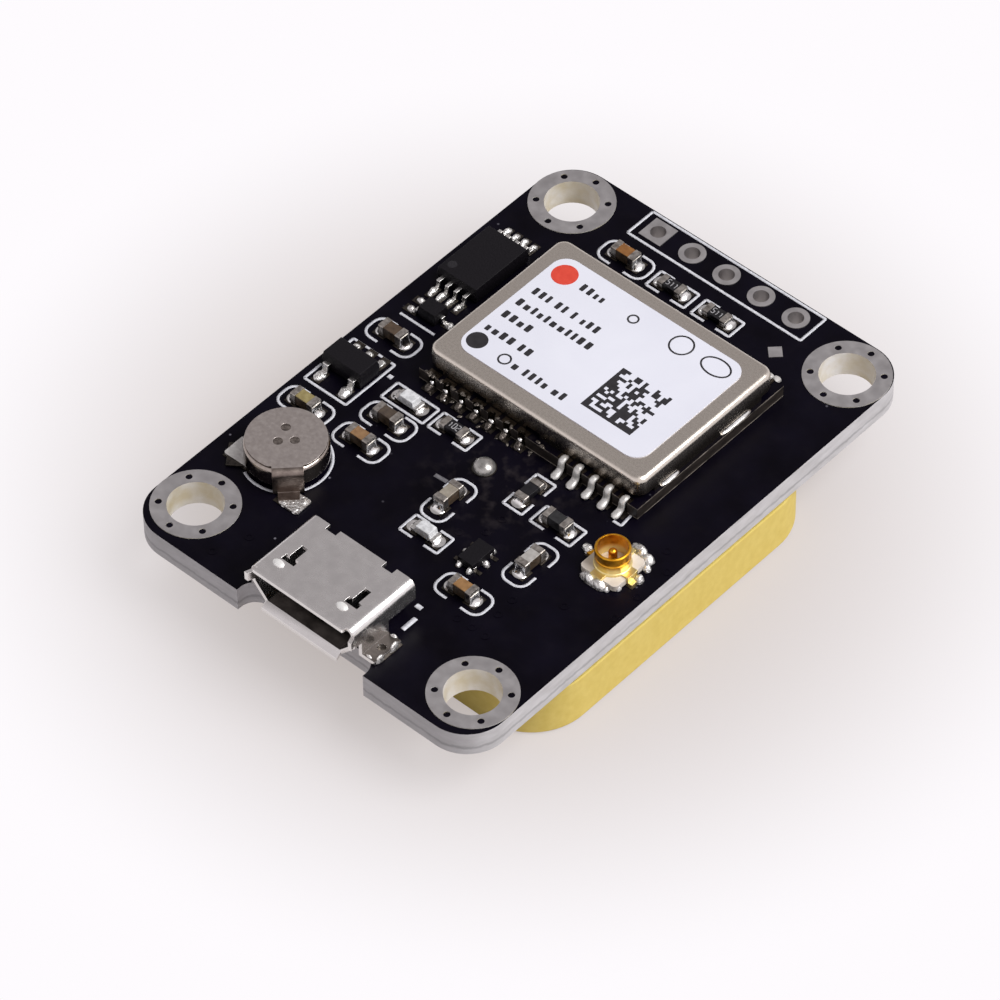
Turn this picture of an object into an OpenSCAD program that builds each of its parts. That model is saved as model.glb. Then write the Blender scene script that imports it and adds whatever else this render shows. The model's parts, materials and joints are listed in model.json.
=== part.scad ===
// Satellite positioning module: a small circuit board that carries a shielded receiver, a micro
// USB socket, a coaxial aerial socket and a backup cell, with a ceramic patch aerial below it.
// Origin: centre of the mounting-hole pattern on the board's top face. +X runs along the short
// side, +Y towards the header row and +Z out of the component side. All sizes are millimetres.

/* [Board] */
// Width of the board along X
board_w = 25.4; // [25.2:0.1:30]
// Length of the board along Y
board_l = 36.4; // [36.2:0.1:42]
// Thickness of the laminate
board_t = 1.6; // [0.8:0.1:2.4]
// Radius of the board's corners
corner_r = 2.5; // [0.5:0.1:3]
// Thickness of copper lands and hole plating
copper_t = 0.05; // [0.03:0.01:0.1]

/* [Mounting holes] */
// Side edge of the board to a hole
hole_side = 2.54; // [2.54:0.02:3]
// Front edge of the board to the front pair of holes
hole_front = 3; // [2.7:0.1:3.3]
// Back edge of the board to the back pair of holes
hole_back = 2.6; // [2.6:0.1:3]
// Finished diameter of a hole
hole_d = 3.2; // [2.2:0.1:3.4]
// Diameter of the plated ring round a hole
ring_d = 5.05; // [4.7:0.05:5.1]
// Diameter of the small holes in a ring
via_d = 0.4; // [0.2:0.05:0.5]
// Diameter of the circle on which those small holes lie
via_circle_d = 4.1; // [4:0.05:4.15]
// Turns of those small holes from +X, on each side of a ring
via_turns = [36, 90, 144]; // [0:1:180]

/* [Header row] */
// Middle of the row along X
header_x = 0.18; // [-1:0.01:1]
// Back edge of the board to the row
header_inset = 1.2; // [1:0.1:1.3]
// Number of holes in the row
header_count = 5; // [2:1:5]
// Distance between the holes
header_pitch = 2.54; // [2:0.01:2.6]
// Finished diameter of a header hole
header_hole_d = 1; // [0.8:0.05:1.2]
// Width of a header pad
header_pad_d = 1.6; // [1.4:0.05:1.8]

/* [Receiver] */
// Middle of the receiver on the board
receiver_at = [0.59, 5.69, 0]; // [-20:0.01:20]
// Width of the receiver's own board along X
receiver_w = 16; // [15.6:0.1:16.4]
// Length of the receiver's own board along Y
receiver_l = 12.2; // [11.8:0.1:12.6]
// Thickness of the receiver's own board
receiver_t = 0.8; // [0.6:0.1:1.2]
// End of the receiver to the first edge pad
edge_pad_margin = 1; // [0.8:0.05:1.2]
// Distance between edge pads
edge_pad_pitch = 1.1; // [1:0.05:1.15]
// Edge pads in the long group of each side
edge_pad_long = 7; // [4:1:7]
// Edge pads in the short group of each side
edge_pad_short = 5; // [3:1:5]
// Width of an edge pad
edge_pad_w = 0.8; // [0.6:0.05:0.9]
// Length of an edge pad on top of the receiver's board
edge_pad_l = 0.4; // [0.32:0.02:0.42]
// Reach of the solder land beyond an edge pad
edge_toe = 0.55; // [0.4:0.05:0.7]
// Diameter of the half-round notch in an edge pad
edge_notch_d = 0.55; // [0.4:0.05:0.6]

/* [Receiver shield] */
// Gap from the receiver's ends to the shield
shield_end_gap = 0.2; // [0.1:0.05:0.4]
// Gap from the receiver's long sides to the shield
shield_side_gap = 0.45; // [0.43:0.01:0.6]
// Height of the shield
shield_h = 1.55; // [1.2:0.05:2]
// Thickness of the shield's sheet
shield_t = 0.15; // [0.1:0.05:0.25]
// Outer radius of the bend round the shield's top
shield_bend = 0.35; // [0.2:0.05:0.4]
// Radius of the shield's upright corners
shield_corner = 0.7; // [0.5:0.05:1]
// Width of the relief cut at each upright corner's foot
shield_relief = 0.5; // [0.3:0.05:0.6]
// Height of the relief cuts along the shield's lower edge
shield_relief_h = 0.3; // [0.2:0.05:0.4]
// Distance between the relief cuts along the shield's long sides
shield_relief_pitch = 3.9; // [3:0.1:5]
// Middle of the shield to a solder run along the foot of an end wall
shield_joint_at = 2.6; // [2.2:0.05:3]
// Length of such a solder run
shield_joint_l = 2.1; // [1:0.05:2.4]
// Gap from the shield's sides to the label
label_margin = 1.05; // [0.8:0.05:2]
// Radius of the label's corners
label_corner = 1; // [0.5:0.05:1.5]
// Thickness of the label
label_t = 0.06; // [0.04:0.01:0.1]

/* [Inside the receiver] */
// Middle of the receiver chip from the receiver's middle
core_at = [-2.6, 0]; // [-3:0.1:3]
// Width of the square receiver chip
core_w = 5; // [4:0.1:6]
// Height of the receiver chip
core_h = 0.65; // [0.5:0.05:0.9]
// Middle of the crystal oscillator from the receiver's middle
crystal_at = [2.6, 2.3]; // [-3:0.1:3]
// Width of the crystal oscillator
crystal_w = 2.5; // [2:0.1:3.2]
// Length of the crystal oscillator
crystal_l = 2; // [1.6:0.1:2.5]
// Height of the crystal oscillator
crystal_h = 0.8; // [0.6:0.05:1]
// Middle of the aerial filter from the receiver's middle
filter_at = [5.2, -2.3]; // [-5.5:0.1:5.5]
// Width of the aerial filter
filter_w = 1.4; // [1.1:0.1:1.8]
// Length of the aerial filter
filter_l = 1.1; // [0.9:0.1:1.5]
// Height of the aerial filter
filter_h = 0.5; // [0.4:0.05:0.8]

/* [USB socket] */
// Middle of the socket along X
usb_x = 0.38; // [-1:0.01:1]
// Lip of the socket beyond the board's front edge
usb_overhang = 0.05; // [0:0.05:0.6]
// Length of the shell from its lip to its back
usb_l = 5.2; // [5.2:0.1:6]
// Width of the shell
usb_w = 7.5; // [7.2:0.1:7.8]
// Height of the shell
usb_h = 2.5; // [2.3:0.05:2.8]
// Width of the shell's floor, between its sloping sides
usb_floor_w = 5.5; // [5:0.1:6]
// Height at which the sides start to slope in
usb_knee = 1.15; // [0.9:0.05:1.3]
// Thickness of the shell's sheet
usb_t = 0.25; // [0.2:0.05:0.3]
// Outer radius of the shell's upper bends
usb_bend = 0.5; // [0.35:0.05:0.7]
// Length of the flared lips
usb_lip = 0.4; // [0.4:0.05:0.8]
// Spread of the upper and side lips
usb_flare = 0.15; // [0.1:0.05:0.3]
// Drop of the lower lip
usb_drop = 0.3; // [0.2:0.05:0.4]
// Gap between the shell and its insulator
usb_fit = 0.02; // [0.01:0.01:0.05]
// Length of the insulator block at the back of the shell
usb_block_l = 1.5; // [1.2:0.1:2]
// Width of the insulator's tongue
usb_tongue_w = 3.9; // [3.6:0.1:4.4]
// Thickness of the tongue
usb_tongue_t = 0.6; // [0.5:0.05:0.7]
// Height of the tongue's underside
usb_tongue_z = 1.2; // [1.1:0.05:1.35]
// Straight front of the shell to the tongue's tip
usb_tongue_inset = 0.5; // [0.3:0.05:0.8]
// Number of contacts
usb_contact_count = 5; // [3:1:5]
// Width of a contact
usb_contact_w = 0.3; // [0.2:0.02:0.36]
// Thickness of a contact
usb_contact_t = 0.15; // [0.1:0.01:0.2]
// Distance between contacts
usb_pitch = 0.65; // [0.6:0.01:0.7]
// Length of a contact's solder tail behind the shell
usb_tail = 0.7; // [0.5:0.05:0.9]
// Middle of the socket to a latch slot
latch_x = 2.3; // [2:0.05:2.5]
// Back of the shell to a latch slot
latch_back = 2.1; // [1.9:0.05:2.3]
// Length of a latch slot's stem
latch_stem_l = 1.2; // [1:0.05:1.3]
// Width of a latch slot's stem
latch_stem_w = 0.42; // [0.3:0.02:0.5]
// Width of a latch slot's cross bar
latch_bar_w = 0.9; // [0.7:0.05:1.1]
// Length of a latch slot's cross bar
latch_bar_l = 0.4; // [0.3:0.05:0.5]
// Middle of the socket to a notch in the back edge
rear_notch_x = 2.05; // [1.8:0.05:2.3]
// Width of a notch in the back edge
rear_notch_w = 0.75; // [0.5:0.05:1]
// Depth of a notch in the back edge
rear_notch_l = 0.4; // [0.2:0.05:0.5]
// Back of the shell to a solder foot
foot_back = 2.15; // [1.5:0.05:2.3]
// Length of a solder foot along Y
foot_l = 2.1; // [1.8:0.05:2.2]
// Reach of a solder foot beyond the shell's side
foot_reach = 0.9; // [0.7:0.05:1.4]
// Diameter of the solder hole in a foot
foot_hole_d = 0.5; // [0.4:0.05:0.7]
// Gap from the shell's sides to the ends of the recess in the board
recess_gap = 0.85; // [0.6:0.05:1.1]
// Depth of the recess in the board
recess_l = 1.25; // [1.1:0.05:1.4]
// Radius of the recess's inner corners
recess_r = 1; // [0.5:0.05:1.05]

/* [Backup cell] */
// Middle of the cell, and the turn of its upper tab
cell_at = [-8.73, -9.65, -45]; // [-180:0.01:180]
// Diameter of the cell
cell_d = 4.8; // [4.4:0.1:4.9]
// Height of the cell without its tabs
cell_h = 1.4; // [1.1:0.05:1.8]
// Edge radius of the cell's can
cell_edge = 0.3; // [0.1:0.05:0.4]
// Wall thickness of the can at its top
cell_wall = 0.2; // [0.1:0.05:0.3]
// Diameter of the cap in the can's mouth
cell_cap_d = 3.7; // [3.4:0.1:3.8]
// Thickness of the gasket between can and cap
cell_gasket_t = 0.2; // [0.1:0.05:0.25]
// Height of the can's rim above the cap's face
cell_rim = 0.2; // [0.1:0.05:0.3]
// Thickness of the tabs
tab_t = 0.12; // [0.08:0.02:0.16]
// Diameter of the upper tab's round plate
plate_d = 4.6; // [4.4:0.05:4.8]
// Middle of the cell to the plate's straight edge
plate_edge = 2.05; // [1.9:0.05:2.2]
// Width of the upper tab's strap
tab_w = 1.75; // [1.6:0.05:2]
// Outer radius of the upper tab's bend
tab_bend = 0.4; // [0.2:0.05:0.45]
// Gap between the can and the upright of the upper tab
tab_gap = 0.1; // [0.05:0.01:0.2]
// Width of the upper tab's foot
tab_foot_w = 1.2; // [1:0.05:1.4]
// Reach of the upper tab's foot from its upright
tab_foot_l = 0.6; // [0.5:0.05:1.1]
// Diameter of a weld spot on the upper tab
weld_d = 0.55; // [0.4:0.05:0.6]
// Depth of a weld spot
weld_depth = 0.05; // [0.03:0.01:0.06]
// Middle of the cell to the single weld spot behind it
weld_back = 0.8; // [0.6:0.05:0.8]
// Middle of the cell to the pair of weld spots ahead of it
weld_front = 0.2; // [0:0.05:0.4]
// Middle of the tab to each of the pair of weld spots
weld_side = 0.46; // [0.35:0.01:0.49]
// Turn of the lower tab
lower_tab_turn = 217; // [200:1:240]
// Width of the lower tab
lower_tab_w = 1.7; // [1.4:0.05:2]
// Reach of the lower tab from the cell's middle
lower_tab_l = 3.3; // [3:0.05:3.5]
// Reach of the lower tab under the cell past its middle
lower_tab_back = 0.9; // [0.5:0.05:1.4]
// Middle of the cell to the middle of the lower tab's land
lower_land_at = 2; // [1.7:0.05:2.3]

/* [Coaxial socket] */
// Middle of the socket on the board
socket_at = [9.9, -3.9, 0]; // [-20:0.01:20]
// Width of the square insulating base
socket_base_w = 2.6; // [2.4:0.05:2.8]
// Radius of the base's corners
socket_base_r = 0.3; // [0.1:0.05:0.5]
// Height of the base
socket_base_h = 0.38; // [0.3:0.02:0.5]
// Outer diameter of the contact ring
socket_ring_d = 2; // [1.8:0.05:2.1]
// Wall thickness of the ring and its legs
socket_ring_t = 0.14; // [0.1:0.02:0.16]
// Height of the socket above the board
socket_h = 1.7; // [1.2:0.05:1.8]
// Depth of the snap groove round the ring
socket_groove = 0.06; // [0.03:0.01:0.07]
// Width of the ring's legs
socket_leg_w = 0.8; // [0.6:0.05:1]
// Reach of the legs' feet beyond the base
socket_foot_l = 0.4; // [0.3:0.05:0.5]
// Diameter of the middle pin
socket_pin_d = 0.5; // [0.4:0.02:0.6]
// Top of the socket to the tip of its pin
socket_pin_drop = 0.2; // [0.1:0.05:0.3]
// Width of the pin's solder tail
socket_tail_w = 0.4; // [0.3:0.05:0.5]

/* [Patch aerial] */
// Side edges of the board to the ceramic
aerial_side = 0; // [0:0.1:1]
// Front edge of the board to the ceramic
aerial_front = 5.2; // [4.6:0.1:7]
// Back edge of the board to the ceramic
aerial_back = 7.5; // [5.5:0.1:9]
// Thickness of the ceramic
aerial_t = 3.2; // [2:0.1:5]
// Radius of the ceramic's upright corners
aerial_corner = 3.7; // [1:0.1:5]
// Thickness of the silver layers
silver_t = 0.1; // [0.05:0.01:0.15]
// Margin of the radiating patch from the ceramic's edge
patch_margin = 2.25; // [1.5:0.05:3]
// Corner trim of the radiating patch
patch_trim = 1.6; // [1:0.1:2.5]
// Margin of the ground layer from the ceramic's edge
ground_margin = 0.2; // [0.1:0.05:0.5]
// Thickness of the adhesive tape
tape_t = 0.2; // [0.15:0.05:0.4]
// Edges of the ceramic to the tape
tape_margin = 0.6; // [0.5:0.1:1]
// Place of the feed pin on the board
feed_at = [-0.2, -3.05, 0]; // [-20:0.01:20]
// Diameter of the feed pin
feed_d = 0.8; // [0.6:0.05:0.9]
// Clearance round the feed pin
feed_clear = 0.1; // [0.05:0.01:0.15]
// Diameter of the pin's head
feed_head_d = 2; // [1.6:0.1:2.4]
// Thickness of the pin's head
feed_head_t = 0.3; // [0.2:0.05:0.5]
// Height of the pin's tip above the board
feed_tip = 0.35; // [0.2:0.05:0.4]
// Clear ring round the pin in the ground layer and the tape
feed_gap = 0.7; // [0.5:0.1:1]
// Diameter of the solder dome on the pin
dome_d = 1.2; // [1.1:0.05:1.4]
// Height of the solder dome
dome_h = 0.5; // [0.45:0.05:0.6]

/* [Chips] */
// Draft of a moulded chip body on each side
chip_draft = 0.08; // [0.02:0.01:0.12]
// Depth to which a lead enters its body
lead_root = 0.2; // [0.15:0.05:0.3]
// Thickness of a lead
lead_t = 0.14; // [0.1:0.01:0.16]
// Lean of a lead's upright
lead_lean = 0.1; // [0.05:0.01:0.15]
// Length of a lead's foot
lead_foot = 0.4; // [0.3:0.02:0.45]
// Reach of a solder land beyond a lead or an end cap
land_toe = 0.4; // [0.3:0.02:0.45]
// Extra width of a solder land
land_side = 0.1; // [0:0.02:0.14]
// Memory chip: width, length and height of its body
memory_size = [3, 4.4, 1.05]; // [0.5:0.05:6]
// Memory chip: distance between leads
memory_pitch = 0.65; // [0.6:0.01:0.7]
// Memory chip: width of a lead
memory_lead_w = 0.26; // [0.2:0.01:0.3]
// Memory chip: reach of a lead beyond the body
memory_reach = 0.95; // [0.85:0.05:1.1]
// Voltage regulator: width, length and height of its body
regulator_size = [2.9, 1.6, 1.15]; // [0.5:0.05:4]
// Voltage regulator: distance between leads
regulator_pitch = 0.95; // [0.9:0.01:1]
// Voltage regulator: width of a lead
regulator_lead_w = 0.42; // [0.3:0.02:0.5]
// Voltage regulator: reach of a lead beyond the body
regulator_reach = 0.75; // [0.7:0.05:0.85]
// Transistor: width, length and height of its body
transistor_size = [1.15, 1.35, 0.8]; // [0.5:0.05:3]
// Transistor: distance between the two leads on one side
transistor_pitch = 0.8; // [0.75:0.05:1.3]
// Transistor: width of a lead
transistor_lead_w = 0.3; // [0.25:0.01:0.4]
// Transistor: reach of a lead beyond the body
transistor_reach = 0.65; // [0.65:0.05:0.8]
// Aerial amplifier: width, length and height of its body
amplifier_size = [1.75, 1.1, 0.55]; // [0.4:0.05:2]
// Aerial amplifier: distance between contacts
amplifier_pitch = 0.66; // [0.45:0.01:0.7]
// Aerial amplifier: width of a contact
amplifier_contact_w = 0.24; // [0.18:0.01:0.28]
// Aerial amplifier: length of a contact under the body
amplifier_contact_l = 0.35; // [0.25:0.01:0.45]
// Aerial amplifier: height of a contact on the body's side
amplifier_contact_h = 0.2; // [0.15:0.01:0.3]

/* [Small parts] */
// Capacitors: length, width and height
capacitor_size = [1.6, 0.8, 0.8]; // [0.3:0.05:2]
// Resistors: length, width and height
resistor_size = [1.6, 0.8, 0.45]; // [0.3:0.05:2]
// Inductor: length, width and height
inductor_size = [1.6, 0.8, 0.75]; // [0.3:0.05:2]
// Indicator lamps: length, width and height of the base
lamp_size = [1.6, 0.8, 0.28]; // [0.2:0.02:2]
// Height of an indicator lamp's lens above its base
lens_h = 0.34; // [0.2:0.02:0.5]
// Length of an end cap
cap_band = 0.36; // [0.25:0.01:0.45]
// Length of an indicator lamp's metal ends
lamp_band = 0.2; // [0.15:0.01:0.4]
// Thickness of an end cap's metal
cap_t = 0.04; // [0.02:0.01:0.06]
// Edge radius of an end cap
cap_edge = 0.08; // [0.04:0.01:0.12]
// Share of a part's height that its solder climbs
solder_climb = 0.6; // [0.4:0.05:0.8]

/* [Places on the board] */
// Memory chip: X, Y and turn
memory_at = [-10.28, 8, 0]; // [-180:0.01:180]
// Voltage regulator: X, Y and turn
regulator_at = [-10.62, -2.5, 0]; // [-180:0.01:180]
// Transistor: X, Y and turn
transistor_at = [-10, 3.53, -90]; // [-180:0.01:180]
// Aerial amplifier: X, Y and turn
amplifier_at = [3.94, -8.28, 90]; // [-180:0.01:180]
// Capacitor 1: X, Y and turn
capacitor_1_at = [-4.84, 13.98, 0]; // [-180:0.01:180]
// Capacitor 2: X, Y and turn
capacitor_2_at = [-10.54, 0.9, 0]; // [-180:0.01:180]
// Capacitor 3: X, Y and turn
capacitor_3_at = [-10.66, -6.11, 0]; // [-180:0.01:180]
// Capacitor 4: X, Y and turn
capacitor_4_at = [-6.46, -3.97, 0]; // [-180:0.01:180]
// Capacitor 5: X, Y and turn
capacitor_5_at = [-6.52, -6.13, 0]; // [-180:0.01:180]
// Capacitor 6: X, Y and turn
capacitor_6_at = [-0.04, -6.1, 90]; // [-180:0.01:180]
// Capacitor 7: X, Y and turn
capacitor_7_at = [6.41, -6.67, 90]; // [-180:0.01:180]
// Capacitor 8: X, Y and turn
capacitor_8_at = [5.13, -10.58, 0]; // [-180:0.01:180]
// Resistor 1: X, Y and turn
resistor_1_at = [-1.36, 13.94, 0]; // [-180:0.01:180]
// Resistor 2: X, Y and turn
resistor_2_at = [1.98, 13.92, 0]; // [-180:0.01:180]
// Resistor 3: X, Y and turn
resistor_3_at = [-3.21, -2.13, 0]; // [-180:0.01:180]
// Resistor 4: X, Y and turn
resistor_4_at = [2.95, -2.88, 90]; // [-180:0.01:180]
// Inductor: X, Y and turn
inductor_at = [5.67, -3.59, 0]; // [-180:0.01:180]
// Indicator lamp 1: X, Y and turn
lamp_1_at = [-6.51, -2.16, 0]; // [-180:0.01:180]
// Indicator lamp 2: X, Y and turn
lamp_2_at = [0.71, -8.72, 0]; // [-180:0.01:180]
// Test point: X, Y and turn
test_point_at = [6.09, 14.06, 45]; // [-180:0.01:180]
// Side of the square test point
test_point_w = 0.78; // [0.5:0.02:1]

/* [Hidden] */
$fn = 48;
// Overrun of a cut past the faces that it opens
over = 0.5;
// Straight steps in a solder fillet's hollow face
fillet_steps = 4;
// Straight steps in a bend of the folded socket shell
bend_steps = 5;

// Distances between the mounting holes along X and Y
hole_dx = board_w - 2 * hole_side;
hole_dy = board_l - hole_front - hole_back;

// Edges of the board along Y
board_front = -hole_dy / 2 - hole_front;
board_back = board_front + board_l;
board_mid = (board_front + board_back) / 2;
header_y = board_back - header_inset;

// Outline of the shield and the label
shield_w = receiver_w - 2 * shield_end_gap;
shield_l = receiver_l - 2 * shield_side_gap;
label_w = shield_w - 2 * label_margin;
label_l = shield_l - 2 * label_margin;

// Socket shell along Y: its tip, the start of its lips and its back
usb_tip = board_front - usb_overhang;
usb_back = usb_tip + usb_l;
usb_straight = usb_l - usb_lip;
// Width of the opening in the shell's floor round the contacts
usb_tail_gap = (usb_contact_count - 1) * usb_pitch + usb_contact_w + 2 * usb_t;
// Length of the land under a solder foot, which stops short of the recess in the board
foot_land_l = usb_back - board_front - recess_l - foot_back - land_side;
// Slope of the shell's lower sides from upright
usb_slope = atan((usb_w - usb_floor_w) / 2 / usb_knee);

// Width and length of the ceramic, and its middle along Y
aerial_w = board_w - 2 * aerial_side;
aerial_l = board_l - aerial_front - aerial_back;
aerial_y = board_front + aerial_front + aerial_l / 2;

// Heights of the aerial's layers below the board
tape_top = -board_t;
ground_top = tape_top - tape_t;
ceramic_top = ground_top - silver_t;
ceramic_bottom = ceramic_top - aerial_t;
patch_bottom = ceramic_bottom - silver_t;

// Inner radius and floor height of the cell's can
cell_bore_r = cell_cap_d / 2 + cell_gasket_t;
cell_roof = cell_h - cell_wall;

CAPACITORS = [
  capacitor_1_at, capacitor_2_at, capacitor_3_at, capacitor_4_at,
  capacitor_5_at, capacitor_6_at, capacitor_7_at, capacitor_8_at
];
RESISTORS = [resistor_1_at, resistor_2_at, resistor_3_at, resistor_4_at];
LAMPS = [lamp_1_at, lamp_2_at];

// Places of the receiver's edge pads along one side, from its middle
function edge_pad_places() = concat(
  [for (i = [0 : edge_pad_long - 1]) edge_pad_margin + i * edge_pad_pitch - receiver_w / 2],
  [for (i = [0 : edge_pad_short - 1]) receiver_w / 2 - edge_pad_margin - i * edge_pad_pitch]
);

// Points along a round bend, from one angle to another
function bend_line(middle, r, start, end) = [for (i = [0 : bend_steps])
  let (a = start + (end - start) * i / bend_steps) middle + r * [cos(a), sin(a)]];

// Section of the socket shell, drawn in by an inset: a flat floor, sloping lower sides,
// upright upper sides and round upper bends
function usb_section(inset) = let (
  side = usb_w / 2 - inset,
  knee = usb_knee + inset * tan(usb_slope / 2),
  floor_half = usb_floor_w / 2 - inset * tan((90 - usb_slope) / 2),
  bend = usb_bend - inset,
  bend_z = usb_h - usb_bend,
  bend_x = usb_w / 2 - usb_bend
) concat(
  [[floor_half, inset], [side, knee]],
  bend_line([bend_x, bend_z], bend, 0, 90), bend_line([-bend_x, bend_z], bend, 90, 180),
  [[-side, knee], [-floor_half, inset]]
);

// Hollow profile of a solder fillet, from its toe to the top of its climb
function fillet_profile(reach, climb) = concat(
  [[0, 0]],
  [for (i = [0 : fillet_steps]) let (a = 90 * i / fillet_steps)
    [reach * (1 - sin(a)), climb * (1 - cos(a))]]
);

// Seats its children on the lands at a place on the board
module on_board(place) {
  translate([place[0], place[1], copper_t]) rotate(place[2]) children();
}

// Stands a profile drawn in X and Z upright, with its thickness along Y
module upright(thickness) {
  rotate([90, 0, 0]) linear_extrude(thickness, center = true) children();
}

module rounded_rect(w, l, r) {
  square([w - 2 * r, l], center = true);
  square([w, l - 2 * r], center = true);
  for (x = [-1, 1], y = [-1, 1])
    translate([x * (w / 2 - r), y * (l / 2 - r)]) circle(r);
}

module block(size) {
  translate([-size[0] / 2, -size[1] / 2, 0]) cube(size);
}

// Half of a box's top, from its inner edge out to its rounded rim
module rim_profile(corner, edge) {
  square([corner - edge, edge]);
  translate([corner - edge, 0]) intersection() {
    circle(edge);
    square(edge);
  }
}

// Box with round upright corners and a round edge round its top
module soft_box(w, l, h, corner, edge) {
  inner_w = w - 2 * corner;
  inner_l = l - 2 * corner;
  linear_extrude(h - edge) rounded_rect(w, l, corner);
  translate([0, 0, h - edge]) {
    linear_extrude(edge) square([inner_w, inner_l], center = true);
    for (turn = [0, 180]) rotate(turn) {
      translate([inner_w / 2, 0, 0]) upright(inner_l) rim_profile(corner, edge);
      rotate(90) translate([inner_l / 2, 0, 0]) upright(inner_w) rim_profile(corner, edge);
      translate([inner_w / 2, inner_l / 2, 0]) rotate_extrude(angle = 90) rim_profile(corner, edge);
      translate([-inner_w / 2, inner_l / 2, 0]) rotate(90) rotate_extrude(angle = 90)
        rim_profile(corner, edge);
    }
  }
}

module mounting_spots() {
  for (x = [-1, 1], y = [-1, 1]) translate([x * hole_dx / 2, y * hole_dy / 2, 0]) children();
}

module header_spots() {
  for ($pad = [0 : header_count - 1])
    translate([header_x + ($pad - (header_count - 1) / 2) * header_pitch, header_y, 0]) children();
}

// Copper land under a part: its top face is the seat
module land(w, l) {
  translate([0, 0, -copper_t]) linear_extrude(copper_t) square([w, l], center = true);
}

// Solder that climbs an upright face at x = 0 and runs out along +X
module fillet(reach, climb, w) {
  upright(w) polygon(fillet_profile(reach, climb));
}

// Lands on both faces of the board round a hole
module hole_lands(hole) {
  for (z = [0, -board_t - copper_t]) translate([0, 0, z]) linear_extrude(copper_t) difference() {
    children();
    circle(d = hole);
  }
}

module circuit_board() color("#15121c") translate([0, 0, -board_t]) linear_extrude(board_t)
  difference() {
    translate([0, board_mid]) rounded_rect(board_w, board_l, corner_r);
    translate([usb_x, board_front])
      rounded_rect(usb_w + 2 * recess_gap, 2 * recess_l, recess_r);
    mounting_spots() circle(d = hole_d + 2 * copper_t);
    header_spots() circle(d = header_hole_d);
    translate([feed_at[0], feed_at[1]]) circle(d = feed_d + 2 * feed_clear);
  }

module ring_outline() {
  difference() {
    circle(d = ring_d);
    for (side = [-1, 1], turn = via_turns)
      rotate(side * turn) translate([via_circle_d / 2, 0]) circle(d = via_d);
  }
}

module mounting_rings() color("#9b999b") mounting_spots() {
  hole_lands(hole_d) ring_outline();
  translate([0, 0, -board_t]) linear_extrude(board_t) difference() {
    circle(d = hole_d + 2 * copper_t);
    circle(d = hole_d);
  }
}

module header_pads() color("#a9a7a8") header_spots() hole_lands(header_hole_d)
  if ($pad == 0) square(header_pad_d, center = true); else circle(d = header_pad_d);

// Pair of lands under the end caps of a small part
module end_lands(size) {
  under = cap_band + land_side;
  for (side = [-1, 1])
    translate([side * (size[0] / 2 + (land_toe - under) / 2), 0, 0])
      land(land_toe + under, size[1] + 2 * land_side);
}

// Solder fillets against the end caps of a small part
module end_joints(size) {
  for (turn = [0, 180]) rotate(turn) translate([size[0] / 2, 0, 0])
    fillet(land_toe - land_side, size[2] * solder_climb, size[1] - 2 * cap_edge);
}

module lead_land(w, reach) {
  inner = reach - lead_foot - lead_t;
  translate([(inner + reach + land_toe) / 2, 0, 0])
    land(reach + land_toe - inner, w + 2 * land_side);
}

module receiver_spots() {
  on_board(receiver_at) for (turn = [0, 180], x = edge_pad_places())
    mirror([0, turn / 180, 0]) translate([x, -receiver_l / 2, 0]) rotate(-90) children();
}

module usb_tail_spots() {
  translate([usb_x, usb_back, copper_t]) for (i = [0 : usb_contact_count - 1])
    translate([(i - (usb_contact_count - 1) / 2) * usb_pitch, 0, 0]) children();
}

module solder_lands() color("#b9b7b4") {
  receiver_spots() translate([edge_toe / 2 - edge_pad_l / 2, 0, 0])
    land(edge_toe + edge_pad_l, edge_pad_w);
  for (place = CAPACITORS) on_board(place) end_lands(capacitor_size);
  for (place = RESISTORS) on_board(place) end_lands(resistor_size);
  for (place = LAMPS) on_board(place) end_lands(lamp_size);
  on_board(inductor_at) end_lands(inductor_size);
  memory_spots() lead_land(memory_lead_w, memory_reach);
  regulator_spots() lead_land(regulator_lead_w, regulator_reach);
  transistor_spots() lead_land(transistor_lead_w, transistor_reach);
  amplifier_spots() translate([(land_toe - amplifier_contact_l) / 2, 0, 0])
    land(land_toe + amplifier_contact_l, amplifier_contact_w);
  usb_tail_spots() translate([0, usb_tail / 2, 0]) land(usb_contact_w, usb_tail + land_toe);
  usb_foot_spots() translate([foot_reach / 2, (foot_l - foot_land_l) / 2, 0])
    land(foot_reach + 2 * land_side, foot_land_l);
  cell_lands();
  socket_leg_spots() translate([socket_base_w / 2 + socket_foot_l / 2, 0, 0])
    land(socket_foot_l + 2 * land_side, socket_leg_w + 2 * land_side);
  on_board(socket_at) translate([-socket_base_w / 2 - socket_foot_l / 2, 0, 0])
    land(socket_foot_l + 2 * land_side, socket_tail_w + 2 * land_side);
  on_board(test_point_at) land(test_point_w, test_point_w);
  translate([feed_at[0], feed_at[1], 0]) linear_extrude(copper_t) difference() {
    circle(d = dome_d + 2 * land_side);
    circle(d = feed_d + 2 * feed_clear);
  }
}

// Round solder dome on the feed pin, cut off flat on its land
module feed_dome() {
  sphere_r = (dome_d * dome_d / 4 + dome_h * dome_h) / (2 * dome_h);
  translate([feed_at[0], feed_at[1], copper_t]) difference() {
    intersection() {
      translate([0, 0, dome_h - sphere_r]) sphere(sphere_r);
      cylinder(d = dome_d + over, h = dome_h + over);
    }
    translate([0, 0, -over]) cylinder(d = feed_d, h = over + feed_tip - copper_t);
  }
}

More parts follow.
